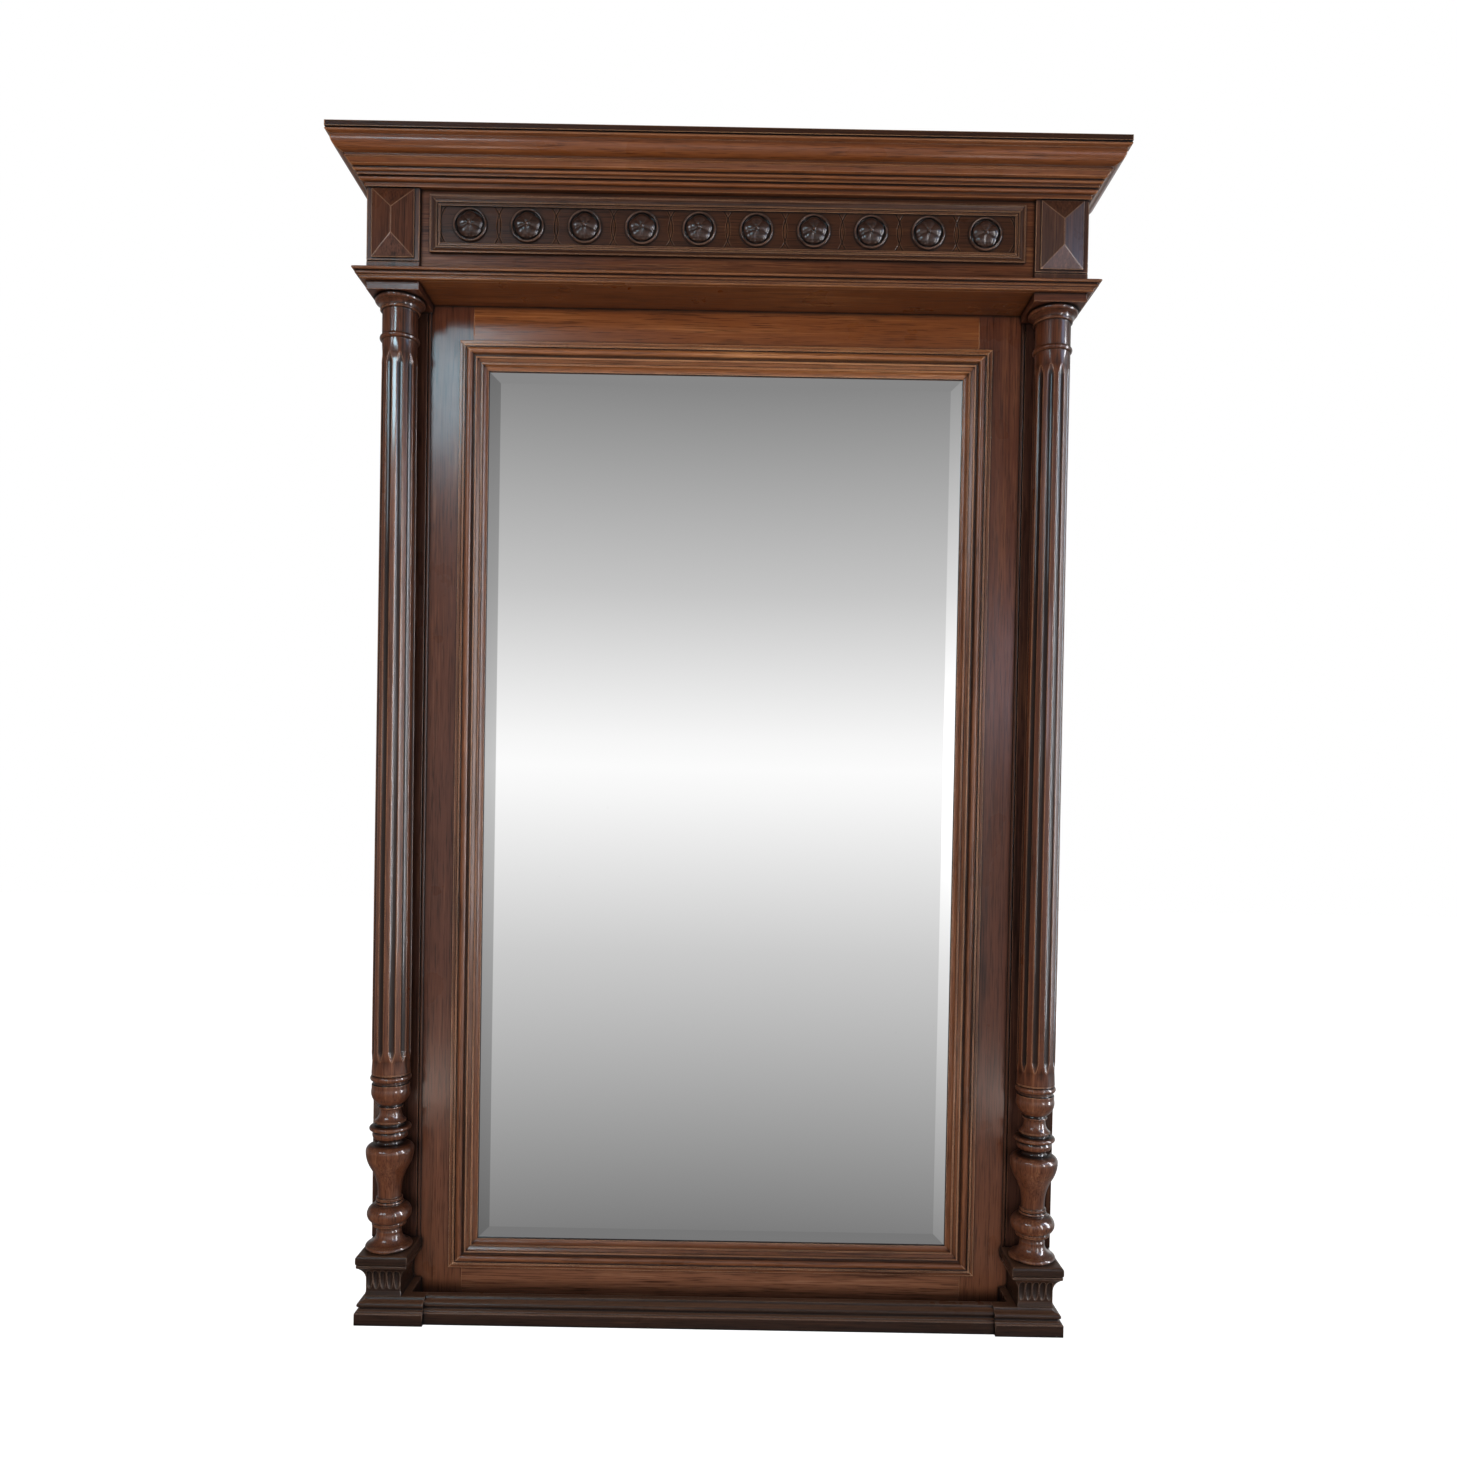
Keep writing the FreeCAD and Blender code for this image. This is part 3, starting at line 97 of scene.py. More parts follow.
class NodeBench:
    """One material's or world's node tree, with short ways to add and join nodes."""

    MIX_SHARE = 0
    MIX_FIRST = 6
    MIX_SECOND = 7
    MIX_RESULT = 2
    SHADE_SAMPLES = 8

    def __init__(self, tree: bpy.types.NodeTree) -> None:
        """Empties a tree and keeps it."""
        self.tree = tree
        tree.nodes.clear()

    def add(self, kind: str, inputs: dict[str | int, Any] | None = None, **settings: Any) -> bpy.types.Node:
        """Adds a node.

        Args:
            kind: The node's type name.
            inputs: Values or output sockets for its inputs, by socket name or number.
            settings: The node's own settings.

        Returns:
            The new node.
        """
        node = self.tree.nodes.new(kind)
        for name, value in settings.items():
            setattr(node, name, value)
        for key, value in (inputs or {}).items():
            socket = node.inputs[key]
            if isinstance(value, bpy.types.NodeSocket):
                self.tree.links.new(value, socket)
            elif isinstance(value, tuple) and len(value) == 3 and socket.type == "RGBA":
                socket.default_value = (*value, 1.0)
            else:
                socket.default_value = value
        return node

    def ramp(self, source: bpy.types.NodeSocket, stops: list[tuple[float, Colour]],
             manner: Stop = Stop.LINEAR) -> bpy.types.NodeSocket:
        """Colours a value.

        Args:
            source: The value to colour.
            stops: Places from 0 to 1, each with its colour.
            manner: How one stop passes into the next.

        Returns:
            The colour socket.
        """
        node = self.add("ShaderNodeValToRGB", {"Fac": source})
        node.color_ramp.interpolation = manner.value
        elements = node.color_ramp.elements
        while len(elements) < len(stops):
            elements.new(0.5)
        for element, (place, colour) in zip(elements, stops):
            element.position = place
            element.color = (*colour, 1.0)
        return node.outputs["Color"]

    def spread(self, source: bpy.types.NodeSocket, low: float, high: float, to_low: float,
               to_high: float) -> bpy.types.NodeSocket:
        """Maps a value from one range to another and clamps it.

        Args:
            source: The value.
            low: Start of its range.
            high: End of its range.
            to_low: What the start becomes.
            to_high: What the end becomes.

        Returns:
            The mapped value.
        """
        node = self.add("ShaderNodeMapRange", {"Value": source, "From Min": low, "From Max": high,
                                               "To Min": to_low, "To Max": to_high})
        return node.outputs["Result"]

    def math(self, operation: str, *values: Any) -> bpy.types.NodeSocket:
        """Joins up to three values by one operation and gives the result."""
        return self.add("ShaderNodeMath", dict(enumerate(values)), operation=operation).outputs[0]

    def mix(self, manner: str, share: Any, first: Any, second: Any) -> bpy.types.NodeSocket:
        """Mixes two colours.

        Args:
            manner: The way they are mixed.
            share: How much of the second is taken.
            first: A colour or an output socket.
            second: Another one.

        Returns:
            The mixed colour.
        """
        node = self.add("ShaderNodeMix", data_type="RGBA", blend_type=manner)
        for index, value in ((self.MIX_SHARE, share), (self.MIX_FIRST, first), (self.MIX_SECOND, second)):
            socket = node.inputs[index]
            if isinstance(value, bpy.types.NodeSocket):
                self.tree.links.new(value, socket)
            else:
                socket.default_value = (*value, 1.0) if isinstance(value, tuple) else value
        return node.outputs[self.MIX_RESULT]

    def along(self, scales: tuple[float, float, float], shift: tuple[float, float, float] = (0, 0, 0),
              ) -> bpy.types.NodeSocket:
        """Object coordinates stretched by scales and moved by a shift."""
        place = self.add("ShaderNodeTexCoord").outputs["Object"]
        node = self.add("ShaderNodeMapping", {"Vector": place, "Scale": scales, "Location": shift})
        return node.outputs[0]

    def axes(self) -> bpy.types.bpy_prop_collection:
        """Object coordinates with a socket for each axis."""
        return self.add("ShaderNodeSeparateXYZ", {0: self.along((1.0, 1.0, 1.0))}).outputs

    def openness(self, reach: float) -> bpy.types.NodeSocket:
        """How open each place is within a reach, from 0 to 1."""
        shade = self.add("ShaderNodeAmbientOcclusion", {"Distance": reach}, samples=self.SHADE_SAMPLES)
        return shade.outputs["AO"]

    def noise(self, vector: bpy.types.NodeSocket, scale: float, detail: float = 3.0,
              distortion: float = 0.0) -> bpy.types.NodeSocket:
        """A noise value at a scale, with some detail and distortion."""
        return self.add("ShaderNodeTexNoise", {"Vector": vector, "Scale": scale, "Detail": detail,
                                               "Distortion": distortion}).outputs["Fac"]

    def finish(self, shader: bpy.types.NodeSocket, output: str = "ShaderNodeOutputMaterial") -> None:
        """Joins the last shader to the output."""
        self.add(output, {"Surface": shader})


def fresh_material(name: str) -> tuple[bpy.types.Material, NodeBench]:
    """Makes an empty material.

    Args:
        name: The material's name.

    Returns:
        The material and the bench for its nodes.
    """
    made = bpy.data.materials.new(name)
    made.use_nodes = True
    return made, NodeBench(made.node_tree)


@dataclass(frozen=True)
class PanelToneAndLight:
    """A stretch of the front painted darker or lighter than the rest: painted shade at the cornice's top,
    painted light at the stiles' feet, a darker tone on the frieze's field.
    """

    half_width: float
    low: float
    high: float
    colour: Colour
    share: float = 0.7
    fade: float = 0.004

    def mask(self, bench: NodeBench) -> bpy.types.NodeSocket:
        """How far each place lies inside the stretch.

        Args:
            bench: The material's nodes.

        Returns:
            A value from 0 to 1.
        """
        place = bench.axes()
        across = bench.math("ABSOLUTE", place["X"])
        beside = bench.spread(across, self.half_width, self.half_width - self.fade, 0.0, 1.0)
        above = bench.spread(place["Z"], self.low, self.low + self.fade, 0.0, 1.0)
        below = bench.spread(place["Z"], self.high, self.high - self.fade, 0.0, 1.0)
        return bench.math("MULTIPLY", bench.math("MULTIPLY", beside, above), below)


@dataclass(frozen=True)
class FluteShade:
    """Dirt and painted shade in the flutes of the two columns, darker the deeper a flute lies."""

    axis_across: float
    axis_deep: float
    foot: float
    head: float
    foot_radius: float
    head_radius: float
    clean: float = 0.0003
    full: float = 0.0016
    share: float = 0.88

    def mask(self, bench: NodeBench) -> bpy.types.NodeSocket:
        """How much dirt and painted shade each place gets, by how deep it lies under the plain taper of its
        shaft.

        Args:
            bench: The material's nodes.

        Returns:
            A value from 0 to the full share.
        """
        place = bench.axes()
        across = bench.math("SUBTRACT", bench.math("ABSOLUTE", place["X"]), self.axis_across)
        deep = bench.math("SUBTRACT", place["Y"], self.axis_deep)
        spoke = bench.add("ShaderNodeCombineXYZ", {"X": across, "Y": deep}).outputs[0]
        reach = bench.add("ShaderNodeVectorMath", {0: spoke}, operation="LENGTH").outputs["Value"]
        taper = bench.spread(place["Z"], self.foot, self.head, self.foot_radius, self.head_radius)
        return bench.spread(bench.math("SUBTRACT", taper, reach), self.clean, self.full, 0.0, self.share)


GRAIN_DRIFT = (1.7, 3.1, 0.6)


@dataclass(frozen=True)
class GrainLayer:
    """One layer of the grain: its scales across and along the fibres, its noise and how far it shows."""

    across: float
    along: float
    scale: float = 1.0
    detail: float = 3.0
    distortion: float = 0.0
    weight: float = 0.0

    def place(self, bench: NodeBench, grain: Grain) -> bpy.types.NodeSocket:
        """Object coordinates drawn out along the fibres.

        Args:
            bench: The material's nodes.
            grain: The way the fibres run.

        Returns:
            The drawn-out coordinates.
        """
        scales = [self.across] * 3
        scales[grain.value] = self.along
        return bench.along((scales[0], scales[1], scales[2]), GRAIN_DRIFT)

    def noise(self, bench: NodeBench, place: bpy.types.NodeSocket) -> bpy.types.NodeSocket:
        """The layer's value at each place."""
        return bench.noise(place, self.scale, self.detail, self.distortion)


FIGURE = GrainLayer(across=9.0, along=0.9, scale=1.6, detail=4.0, distortion=0.9, weight=0.4)
RING_BEND = GrainLayer(across=9.0, along=0.9, scale=2.0)
RINGS = GrainLayer(across=30.0, along=1.4, scale=2.2, detail=4.0, distortion=0.7, weight=0.2)
FIBRES = GrainLayer(across=110.0, along=3.4, detail=6.0, distortion=0.5, weight=0.3)
STREAKS = GrainLayer(across=330.0, along=9.0, scale=1.3, weight=0.42)
PORES = GrainLayer(across=900.0, along=26.0, detail=2.0)
WAVES = GrainLayer(across=95.0, along=30.0)


@dataclass(frozen=True)
class WoodFinish:
    """Varnished or bare wood: its colours from dark growth rings to light, its polish, its wear with painted
    highlights on the edges, and its dirt with painted shade in corners and creases.
    """

    name: str
    dark: Colour
    middle: Colour
    light: Colour
    # The dark colour fills the pores, and also darkens corners and creases as dirt together with painted
    # shade.
    grime_and_shade: Colour
    worn_and_highlight: Colour
    polish: float = 0.3
    varnish: float = 0.3
    varnish_gloss: float = 0.2
    pore_depth: float = 0.26
    # The edge wear setting pales the free edges: wear together with a painted highlight.
    edge_wear_and_highlight: float = 0.8
    # The corner and crease settings darken corners and creases: dirt together with painted shade.
    corner_grime_and_shade: float = 0.4
    grime_and_shade_reach: float = 0.018
    crease_reach: float = 0.0055
    crease_full: float = 0.55
    crease_none: float = 0.96
    ripple: float = 0.3
    edge_round: float = 0.0018
    shine: float = 0.1
    depth: float = 1.0
    dust: float = 0.0
    dust_colour: Colour = tone(150, 106, 80)
    panel: PanelToneAndLight | None = None
    flutes: FluteShade | None = None

    def material(self, grain: Grain) -> bpy.types.Material:
        """Makes the finish for one way of the grain.

        Args:
            grain: The way the fibres run.

        Returns:
            The material.
        """
        made, bench = fresh_material(f"{self.name}_{grain.name.lower()}")
        WoodSurface(self, bench, grain).build()
        return made


class WoodSurface:
    """One wood finish as it is built up: grain, dirt with painted shade in corners and creases, dust, edges
    paled by wear and painted highlights, and polish.
    """

    MIDDLE = 0.5
    RING_STOPS = (0.3, 0.5, 0.72)
    PIT_SPAN = (0.34, 0.46)
    PIT_DARKNESS = 0.55
    CORNER_SPAN = (0.35, 0.92)
    CREASE_DARKNESS = 0.95
    PATCH_SPAN = (0.3, 0.7)
    LEAST_GRIME_AND_SHADE = 0.75
    LEAST_DUST = 0.6
    UPWARD_SPAN = (0.6, 0.95)
    EDGE_TURN = (0.994, 0.93)
    OPEN_SPAN = (0.75, 0.97)
    RUB_AND_HIGHLIGHT_SPAN = (0.35, 0.6)
    LEAST_RUB_AND_HIGHLIGHT = 0.45
    SMEAR_SCALES = (14.0, 14.0, 14.0)
    SMEAR_DETAIL = 4.0
    SMEAR_SPAN = (0.3, 0.7)
    CLEARER = 0.05
    DULLER = 0.09
    GRIME_ROUGHNESS = 0.28
    RIPPLE_HEIGHT = 0.0006
    PORE_HEIGHT = 0.0004
    PIT_SHARE = 0.55
    STREAK_SHARE = 0.5
    EDGE_SAMPLES = 4
    VARNISH_IOR = 1.5

    def __init__(self, finish: WoodFinish, bench: NodeBench, grain: Grain) -> None:
        """Lays out the layers of the grain and what tells corners and edges apart.

        Args:
            finish: The finish to build.
            bench: The material's nodes.
            grain: The way the fibres run.
        """
        self.finish = finish
        self.bench = bench
        self.figure = FIGURE.noise(bench, FIGURE.place(bench, grain))
        bend = RING_BEND.noise(bench, RING_BEND.place(bench, grain))
        straight = RINGS.place(bench, grain)
        bent = bench.add("ShaderNodeVectorMath", {0: straight, 1: bend}, operation="ADD")
        self.rings = RINGS.noise(bench, bent.outputs[0])
        self.fibres = FIBRES.noise(bench, FIBRES.place(bench, grain))
        self.streaks = STREAKS.noise(bench, STREAKS.place(bench, grain))
        self.waves = WAVES.noise(bench, WAVES.place(bench, grain))
        pores = PORES.noise(bench, PORES.place(bench, grain))
        self.pits = bench.spread(pores, *self.PIT_SPAN, 0.0, 1.0)
        self.open = bench.openness(finish.grime_and_shade_reach)
        self.soft = bench.add("ShaderNodeBevel", {"Radius": finish.edge_round},
                              samples=self.EDGE_SAMPLES).outputs["Normal"]
        self.flat = bench.add("ShaderNodeNewGeometry").outputs["Normal"]

    def grained(self) -> bpy.types.NodeSocket:
        """The clean wood with its rings, streaks and open pores.

        Returns:
            Its colour.
        """
        bench, finish = self.bench, self.finish
        mixed: Any = self.MIDDLE
        for layer, value in ((FIGURE, self.figure), (RINGS, self.rings), (FIBRES, self.fibres),
                             (STREAKS, self.streaks)):
            weight = layer.weight * finish.depth
            share = bench.math("MULTIPLY_ADD", value, weight, -self.MIDDLE * weight)
            mixed = bench.math("ADD", share, mixed)
        tones = zip(self.RING_STOPS, (finish.dark, finish.middle, finish.light))
        wood = bench.ramp(mixed, list(tones), Stop.EASE)
        # The panel colour paints the cornice's top darker (painted shade), the stiles' feet lighter (painted
        # light) and the frieze's field a darker tone.
        if finish.panel is not None:
            share = bench.math("MULTIPLY", finish.panel.mask(bench), finish.panel.share)
            wood = bench.mix("MIX", share, wood, finish.panel.colour)
        dots = bench.spread(self.pits, 0.0, 1.0, self.PIT_DARKNESS, 0.0)
        return bench.mix("MIX", dots, wood, finish.grime_and_shade)

    def dirt(self) -> bpy.types.NodeSocket:
        """The dirt and painted shade that darken corners, creases and flutes.

        Returns:
            How much of it lies at each place.
        """
        bench, finish = self.bench, self.finish
        # Ambient occlusion darkens corners and creases: dirt together with painted shade.
        corner = bench.spread(self.open, *self.CORNER_SPAN, finish.corner_grime_and_shade, 0.0)
        patches = bench.spread(self.figure, *self.PATCH_SPAN, self.LEAST_GRIME_AND_SHADE, 1.0)
        close = bench.openness(finish.crease_reach)
        crease = bench.spread(close, finish.crease_full, finish.crease_none, self.CREASE_DARKNESS, 0.0)
        dirty_and_shaded = bench.math("MAXIMUM", bench.math("MULTIPLY", corner, patches), crease)
        if finish.flutes is not None:
            dirty_and_shaded = bench.math("MAXIMUM", dirty_and_shaded, finish.flutes.mask(bench))
        return dirty_and_shaded

    def dusted(self, colour: bpy.types.NodeSocket) -> bpy.types.NodeSocket:
        """Lets dust settle on what faces up.

        Args:
            colour: The wood's colour so far.

        Returns:
            The colour with the dust.
        """
        bench = self.bench
        upward = bench.add("ShaderNodeSeparateXYZ", {0: self.flat}).outputs["Z"]
        settled = bench.spread(upward, *self.UPWARD_SPAN, 0.0, self.finish.dust)
        patches = bench.spread(self.figure, *self.PATCH_SPAN, self.LEAST_DUST, 1.0)
        share = bench.math("MULTIPLY", settled, patches)
        return bench.mix("MIX", share, colour, self.finish.dust_colour)

    def rubbed_and_highlit(self, colour: bpy.types.NodeSocket) -> bpy.types.NodeSocket:
        """Pales the free edges: wear together with a painted highlight along them.

        Args:
            colour: The wood's colour so far.

        Returns:
            The colour with the paler edges.
        """
        bench = self.bench
        turn = bench.add("ShaderNodeVectorMath", {0: self.soft, 1: self.flat}, operation="DOT_PRODUCT")
        # Edges that turn away from the flat faces are painted paler: wear and a painted highlight.
        bent = bench.spread(turn.outputs["Value"], *self.EDGE_TURN, 0.0, 1.0)
        free = bench.spread(self.open, *self.OPEN_SPAN, 0.0, 1.0)
        streaky = bench.spread(self.rings, *self.RUB_AND_HIGHLIGHT_SPAN, self.LEAST_RUB_AND_HIGHLIGHT, 1.0)
        worn_and_highlight = bench.math("MULTIPLY", bench.math("MULTIPLY", bent, free), streaky)
        share = bench.math("MULTIPLY", worn_and_highlight, self.finish.edge_wear_and_highlight)
        return bench.mix("MIX", share, colour, self.finish.worn_and_highlight)

    def build(self) -> None:
        """Joins colour, polish and relief into the finish."""
        bench, finish = self.bench, self.finish
        dirty_and_shaded = self.dirt()
        # Corners, creases and flutes take the dark colour: dirt together with painted shade.
        colour = bench.mix("MIX", dirty_and_shaded, self.grained(), finish.grime_and_shade)
        if finish.dust > 0:
            colour = self.dusted(colour)
        colour = self.rubbed_and_highlit(colour)

        smears = bench.noise(bench.along(self.SMEAR_SCALES), 1.0, self.SMEAR_DETAIL)
        polish = bench.spread(smears, *self.SMEAR_SPAN, finish.polish - self.CLEARER,
                              finish.polish + self.DULLER)
        rough = bench.math("ADD", polish, bench.math("MULTIPLY", dirty_and_shaded, self.GRIME_ROUGHNESS))
        planed = bench.add("ShaderNodeBump", {"Strength": finish.ripple, "Distance": self.RIPPLE_HEIGHT,
                                              "Height": self.waves, "Normal": self.soft}).outputs[0]
        height = bench.math("ADD", bench.math("MULTIPLY", self.pits, self.PIT_SHARE),
                            bench.math("MULTIPLY", self.streaks, self.STREAK_SHARE))
        bump = bench.add("ShaderNodeBump", {"Strength": finish.pore_depth, "Distance": self.PORE_HEIGHT,
                                            "Height": height, "Normal": planed}).outputs[0]
        shader = bench.add("ShaderNodeBsdfPrincipled", {
            "Base Color": colour, "Roughness": rough, "Normal": bump, "Coat Normal": planed,
            "Coat Weight": finish.varnish, "Coat Roughness": finish.varnish_gloss, "IOR": self.VARNISH_IOR,
            "Specular IOR Level": finish.shine})
        bench.finish(shader.outputs[0])


@dataclass(frozen=True)
class MirrorFinish:
    """Silvered glass, a little spotted, with a dull coat of paint on its back."""

    name: str = "silvered_glass"
    silver: Colour = (0.97, 0.97, 0.97)
    tarnish: Colour = (0.55, 0.52, 0.47)
    tarnish_share: float = 0.5
    tarnish_roughness: float = 0.25
    gloss: float = 0.006
    back_paint: Colour = tone(74, 62, 52)
    back_roughness: float = 0.7
    edge_turn: float = 0.2
    speck_scale: float = 140.0
    speck_span: tuple[float, float] = (0.74, 0.8)
    cloud_scale: float = 6.0
    cloud_detail: float = 2.0
    cloud_span: tuple[float, float] = (0.56, 0.7)

    def material(self) -> bpy.types.Material:
        """Makes the mirror's material.

        Returns:
            The material.
        """
        made, bench = fresh_material(self.name)
        specks = bench.noise(bench.along((self.speck_scale,) * 3), 1.0)
        clouds = bench.noise(bench.along((self.cloud_scale,) * 3), 1.0, self.cloud_detail)
        spotted = bench.math("MULTIPLY", bench.spread(specks, *self.speck_span, 0.0, 1.0),
                             bench.spread(clouds, *self.cloud_span, 0.0, 1.0))
        share = bench.math("MULTIPLY", spotted, self.tarnish_share)
        colour = bench.mix("MIX", share, self.silver, self.tarnish)
        rough = bench.math("ADD", bench.math("MULTIPLY", spotted, self.tarnish_roughness), self.gloss)
        facing = bench.add("ShaderNodeNewGeometry").outputs["Normal"]
        deep = bench.add("ShaderNodeSeparateXYZ", {0: facing}).outputs["Y"]
        silvered = bench.spread(deep, -self.edge_turn, self.edge_turn, 1.0, 0.0)
        colour = bench.mix("MIX", silvered, self.back_paint, colour)
        dull = bench.spread(silvered, 0.0, 1.0, self.back_roughness, 0.0)
        shader = bench.add("ShaderNodeBsdfPrincipled", {
            "Base Color": colour, "Roughness": bench.math("MAXIMUM", rough, dull), "Metallic": silvered})
        bench.finish(shader.outputs[0])
        return made


@dataclass(frozen=True)
class MetalFinish:
    """Plain ironwork: its colour, the colour of its rust or dirt, and how rough it is."""

    name: str
    bright: Colour
    dull: Colour
    roughness: float = 0.42
    patches: float = 60.0
    patch_detail: float = 5.0
    patch_bend: float = 0.6
    patch_span: tuple[float, float] = (0.45, 0.66)
    crevice_reach: float = 0.004
    crevice_span: tuple[float, float] = (0.3, 0.8)
    rust_roughness: float = 0.35
    rust_metal: float = 0.45
    scratch_scale: float = 900.0
    scratch_detail: float = 2.0
    scratch_strength: float = 0.2
    scratch_height: float = 0.0003

    def material(self) -> bpy.types.Material:
        """Makes the metal's material.

        Returns:
            The material.
        """
        made, bench = fresh_material(self.name)
        stain = bench.noise(bench.along((self.patches,) * 3), 1.0, self.patch_detail, self.patch_bend)
        fine = bench.noise(bench.along((self.scratch_scale,) * 3), 1.0, self.scratch_detail)
        crevice = bench.spread(bench.openness(self.crevice_reach), *self.crevice_span, 1.0, 0.0)
        rust = bench.math("MAXIMUM", bench.spread(stain, *self.patch_span, 0.0, 1.0), crevice)
        colour = bench.mix("MIX", rust, self.bright, self.dull)
        rough = bench.spread(rust, 0.0, 1.0, self.roughness, self.roughness + self.rust_roughness)
        metallic = bench.spread(rust, 0.0, 1.0, 1.0, self.rust_metal)
        bump = bench.add("ShaderNodeBump", {"Strength": self.scratch_strength, "Height": fine,
                                            "Distance": self.scratch_height})
        shader = bench.add("ShaderNodeBsdfPrincipled", {"Base Color": colour, "Roughness": rough,
                                                        "Metallic": metallic, "Normal": bump.outputs[0]})
        bench.finish(shader.outputs[0])
        return made


FRIEZE_PANEL = PanelToneAndLight(half_width=0.412, low=1.499, high=1.577, colour=tone(42, 26, 18))
# Painted shade: the cornice's top fillet is painted near black.
CORNICE_TOP_PAINTED_SHADE = PanelToneAndLight(half_width=0.6, low=1.6385, high=1.7, colour=tone(20, 12, 9), share=0.82)
# Painted light: the stiles are painted lighter towards their feet.
STILE_FOOT_PAINTED_LIGHT = PanelToneAndLight(half_width=0.6, low=-0.3, high=0.36, colour=tone(124, 82, 60), share=0.6, fade=0.28)
# Dirt and painted shade in the columns' flutes.
SHAFT_FLUTES = FluteShade(axis_across=0.4625, axis_deep=0.0065, foot=0.349, head=1.386, foot_radius=0.027,
                          head_radius=0.0243)
DARK_WALNUT = WoodFinish("dark_walnut", tone(38, 18, 11), tone(85, 46, 30), tone(122, 76, 51),
                         tone(11, 6, 4), tone(180, 126, 90), depth=0.8, panel=STILE_FOOT_PAINTED_LIGHT)
TOP_WALNUT = WoodFinish("top_walnut", tone(64, 33, 17), tone(142, 86, 50), tone(188, 128, 80),
                        tone(13, 7, 5), tone(228, 176, 130), edge_wear_and_highlight=0.95, corner_grime_and_shade=0.25,
                        crease_reach=0.006)
STRIP_WALNUT = WoodFinish("strip_walnut", tone(30, 16, 11), tone(62, 36, 26), tone(94, 60, 42),
                          tone(9, 5, 4), tone(140, 98, 74), varnish=0.15)
# Painted light: a lighter copy of the frame's wood for the bottom rail.
PAINTED_LIGHT_RAIL_WALNUT = WoodFinish("painted_light_rail_walnut", tone(58, 32, 20), tone(122, 79, 57), tone(162, 117, 89),
                         tone(14, 8, 5), tone(220, 172, 134), edge_wear_and_highlight=0.1, corner_grime_and_shade=0.25)
LEDGE_WALNUT = WoodFinish("ledge_walnut", tone(52, 24, 10), tone(104, 57, 29), tone(142, 90, 52),
                          tone(13, 7, 5), tone(196, 140, 98), crease_reach=0.006, depth=0.8)
MOULDED_WALNUT = WoodFinish("moulded_walnut", tone(52, 27, 16), tone(116, 71, 47), tone(160, 108, 78),
                            tone(11, 6, 4), tone(220, 172, 134), edge_wear_and_highlight=0.95, corner_grime_and_shade=0.25,
                            crease_reach=0.006)
WARM_WALNUT = WoodFinish("warm_walnut", tone(54, 25, 10), tone(118, 65, 32), tone(164, 104, 58),
                         tone(12, 7, 4), tone(216, 158, 110), crease_reach=0.008, depth=0.62,
                         panel=CORNICE_TOP_PAINTED_SHADE)
PLINTH_WALNUT = WoodFinish("plinth_walnut", tone(24, 13, 9), tone(46, 29, 21), tone(74, 48, 34),
                           tone(8, 5, 4), tone(178, 146, 126), varnish=0.25, edge_wear_and_highlight=0.5,
                           edge_round=0.0024, crease_reach=0.007, dust=0.35)
FRIEZE_WALNUT = WoodFinish("frieze_walnut", tone(48, 24, 13), tone(94, 53, 31), tone(132, 83, 50),
                           tone(14, 8, 5), tone(180, 124, 84), varnish=0.06, edge_wear_and_highlight=0.45,
                           panel=FRIEZE_PANEL)
BEAD_WALNUT = WoodFinish("bead_walnut", tone(36, 20, 13), tone(74, 44, 29), tone(112, 72, 48),
                         tone(9, 5, 4), tone(190, 140, 102), varnish=0.25, edge_wear_and_highlight=0.95)
BLOCK_WALNUT = WoodFinish("block_walnut", tone(36, 19, 12), tone(85, 49, 33), tone(122, 78, 54),
                          tone(11, 6, 4), tone(206, 158, 122), edge_wear_and_highlight=0.95, edge_round=0.0022)
# Painted shade: darker copies for the right-hand block, diamond and strip.
SHADED_BLOCK_WALNUT = replace(BLOCK_WALNUT, name="shaded_block_walnut", middle=tone(68, 40, 28),
                              light=tone(100, 65, 46), varnish=0.4)
SHADED_STRIP_WALNUT = replace(STRIP_WALNUT, name="shaded_strip_walnut", middle=tone(56, 33, 25),
                              varnish=0.04, shine=0.04)
TURNED_WALNUT = WoodFinish("turned_walnut", tone(42, 21, 13), tone(96, 55, 36), tone(136, 88, 60),
                           tone(8, 5, 3), tone(190, 136, 98), varnish=0.55, varnish_gloss=0.12,
                           crease_reach=0.011, crease_full=0.6, crease_none=0.95, ripple=0.12)
SHAFT_WALNUT = replace(TURNED_WALNUT, name="shaft_walnut", flutes=SHAFT_FLUTES)
# Painted shade: a darker copy of the shaft for the right-hand column.
SHADED_SHAFT_WALNUT = replace(SHAFT_WALNUT, name="shaded_shaft_walnut", dark=tone(36, 17, 10),
                              middle=tone(84, 45, 28), light=tone(120, 73, 47), varnish=0.36,
                              varnish_gloss=0.1)
CARVED_WALNUT = WoodFinish("carved_walnut", tone(30, 18, 14), tone(56, 36, 28), tone(86, 56, 42),
                           tone(7, 4, 3), tone(150, 110, 86), polish=0.28, varnish=0.34,
                           varnish_gloss=0.12, ripple=0.0, grime_and_shade_reach=0.006, crease_reach=0.003)
BARE_WOOD = WoodFinish("bare_back_wood", tone(92, 64, 42), tone(128, 94, 64), tone(158, 122, 86),
                       tone(58, 42, 30), tone(170, 136, 100), polish=0.62, varnish=0.0, pore_depth=0.4,
                       edge_wear_and_highlight=0.3)
PEG_WOOD = WoodFinish("peg_wood", tone(78, 52, 34), tone(108, 76, 50), tone(134, 98, 66), tone(46, 32, 22),
                      tone(150, 114, 80), polish=0.6, varnish=0.0, pore_depth=0.35, edge_wear_and_highlight=0.3)
HANGER_IRON = MetalFinish("hanger_iron", tone(112, 108, 104), tone(70, 50, 40))
SCREW_STEEL = MetalFinish("screw_steel", tone(150, 148, 142), tone(96, 80, 66), roughness=0.36, patches=90.0)


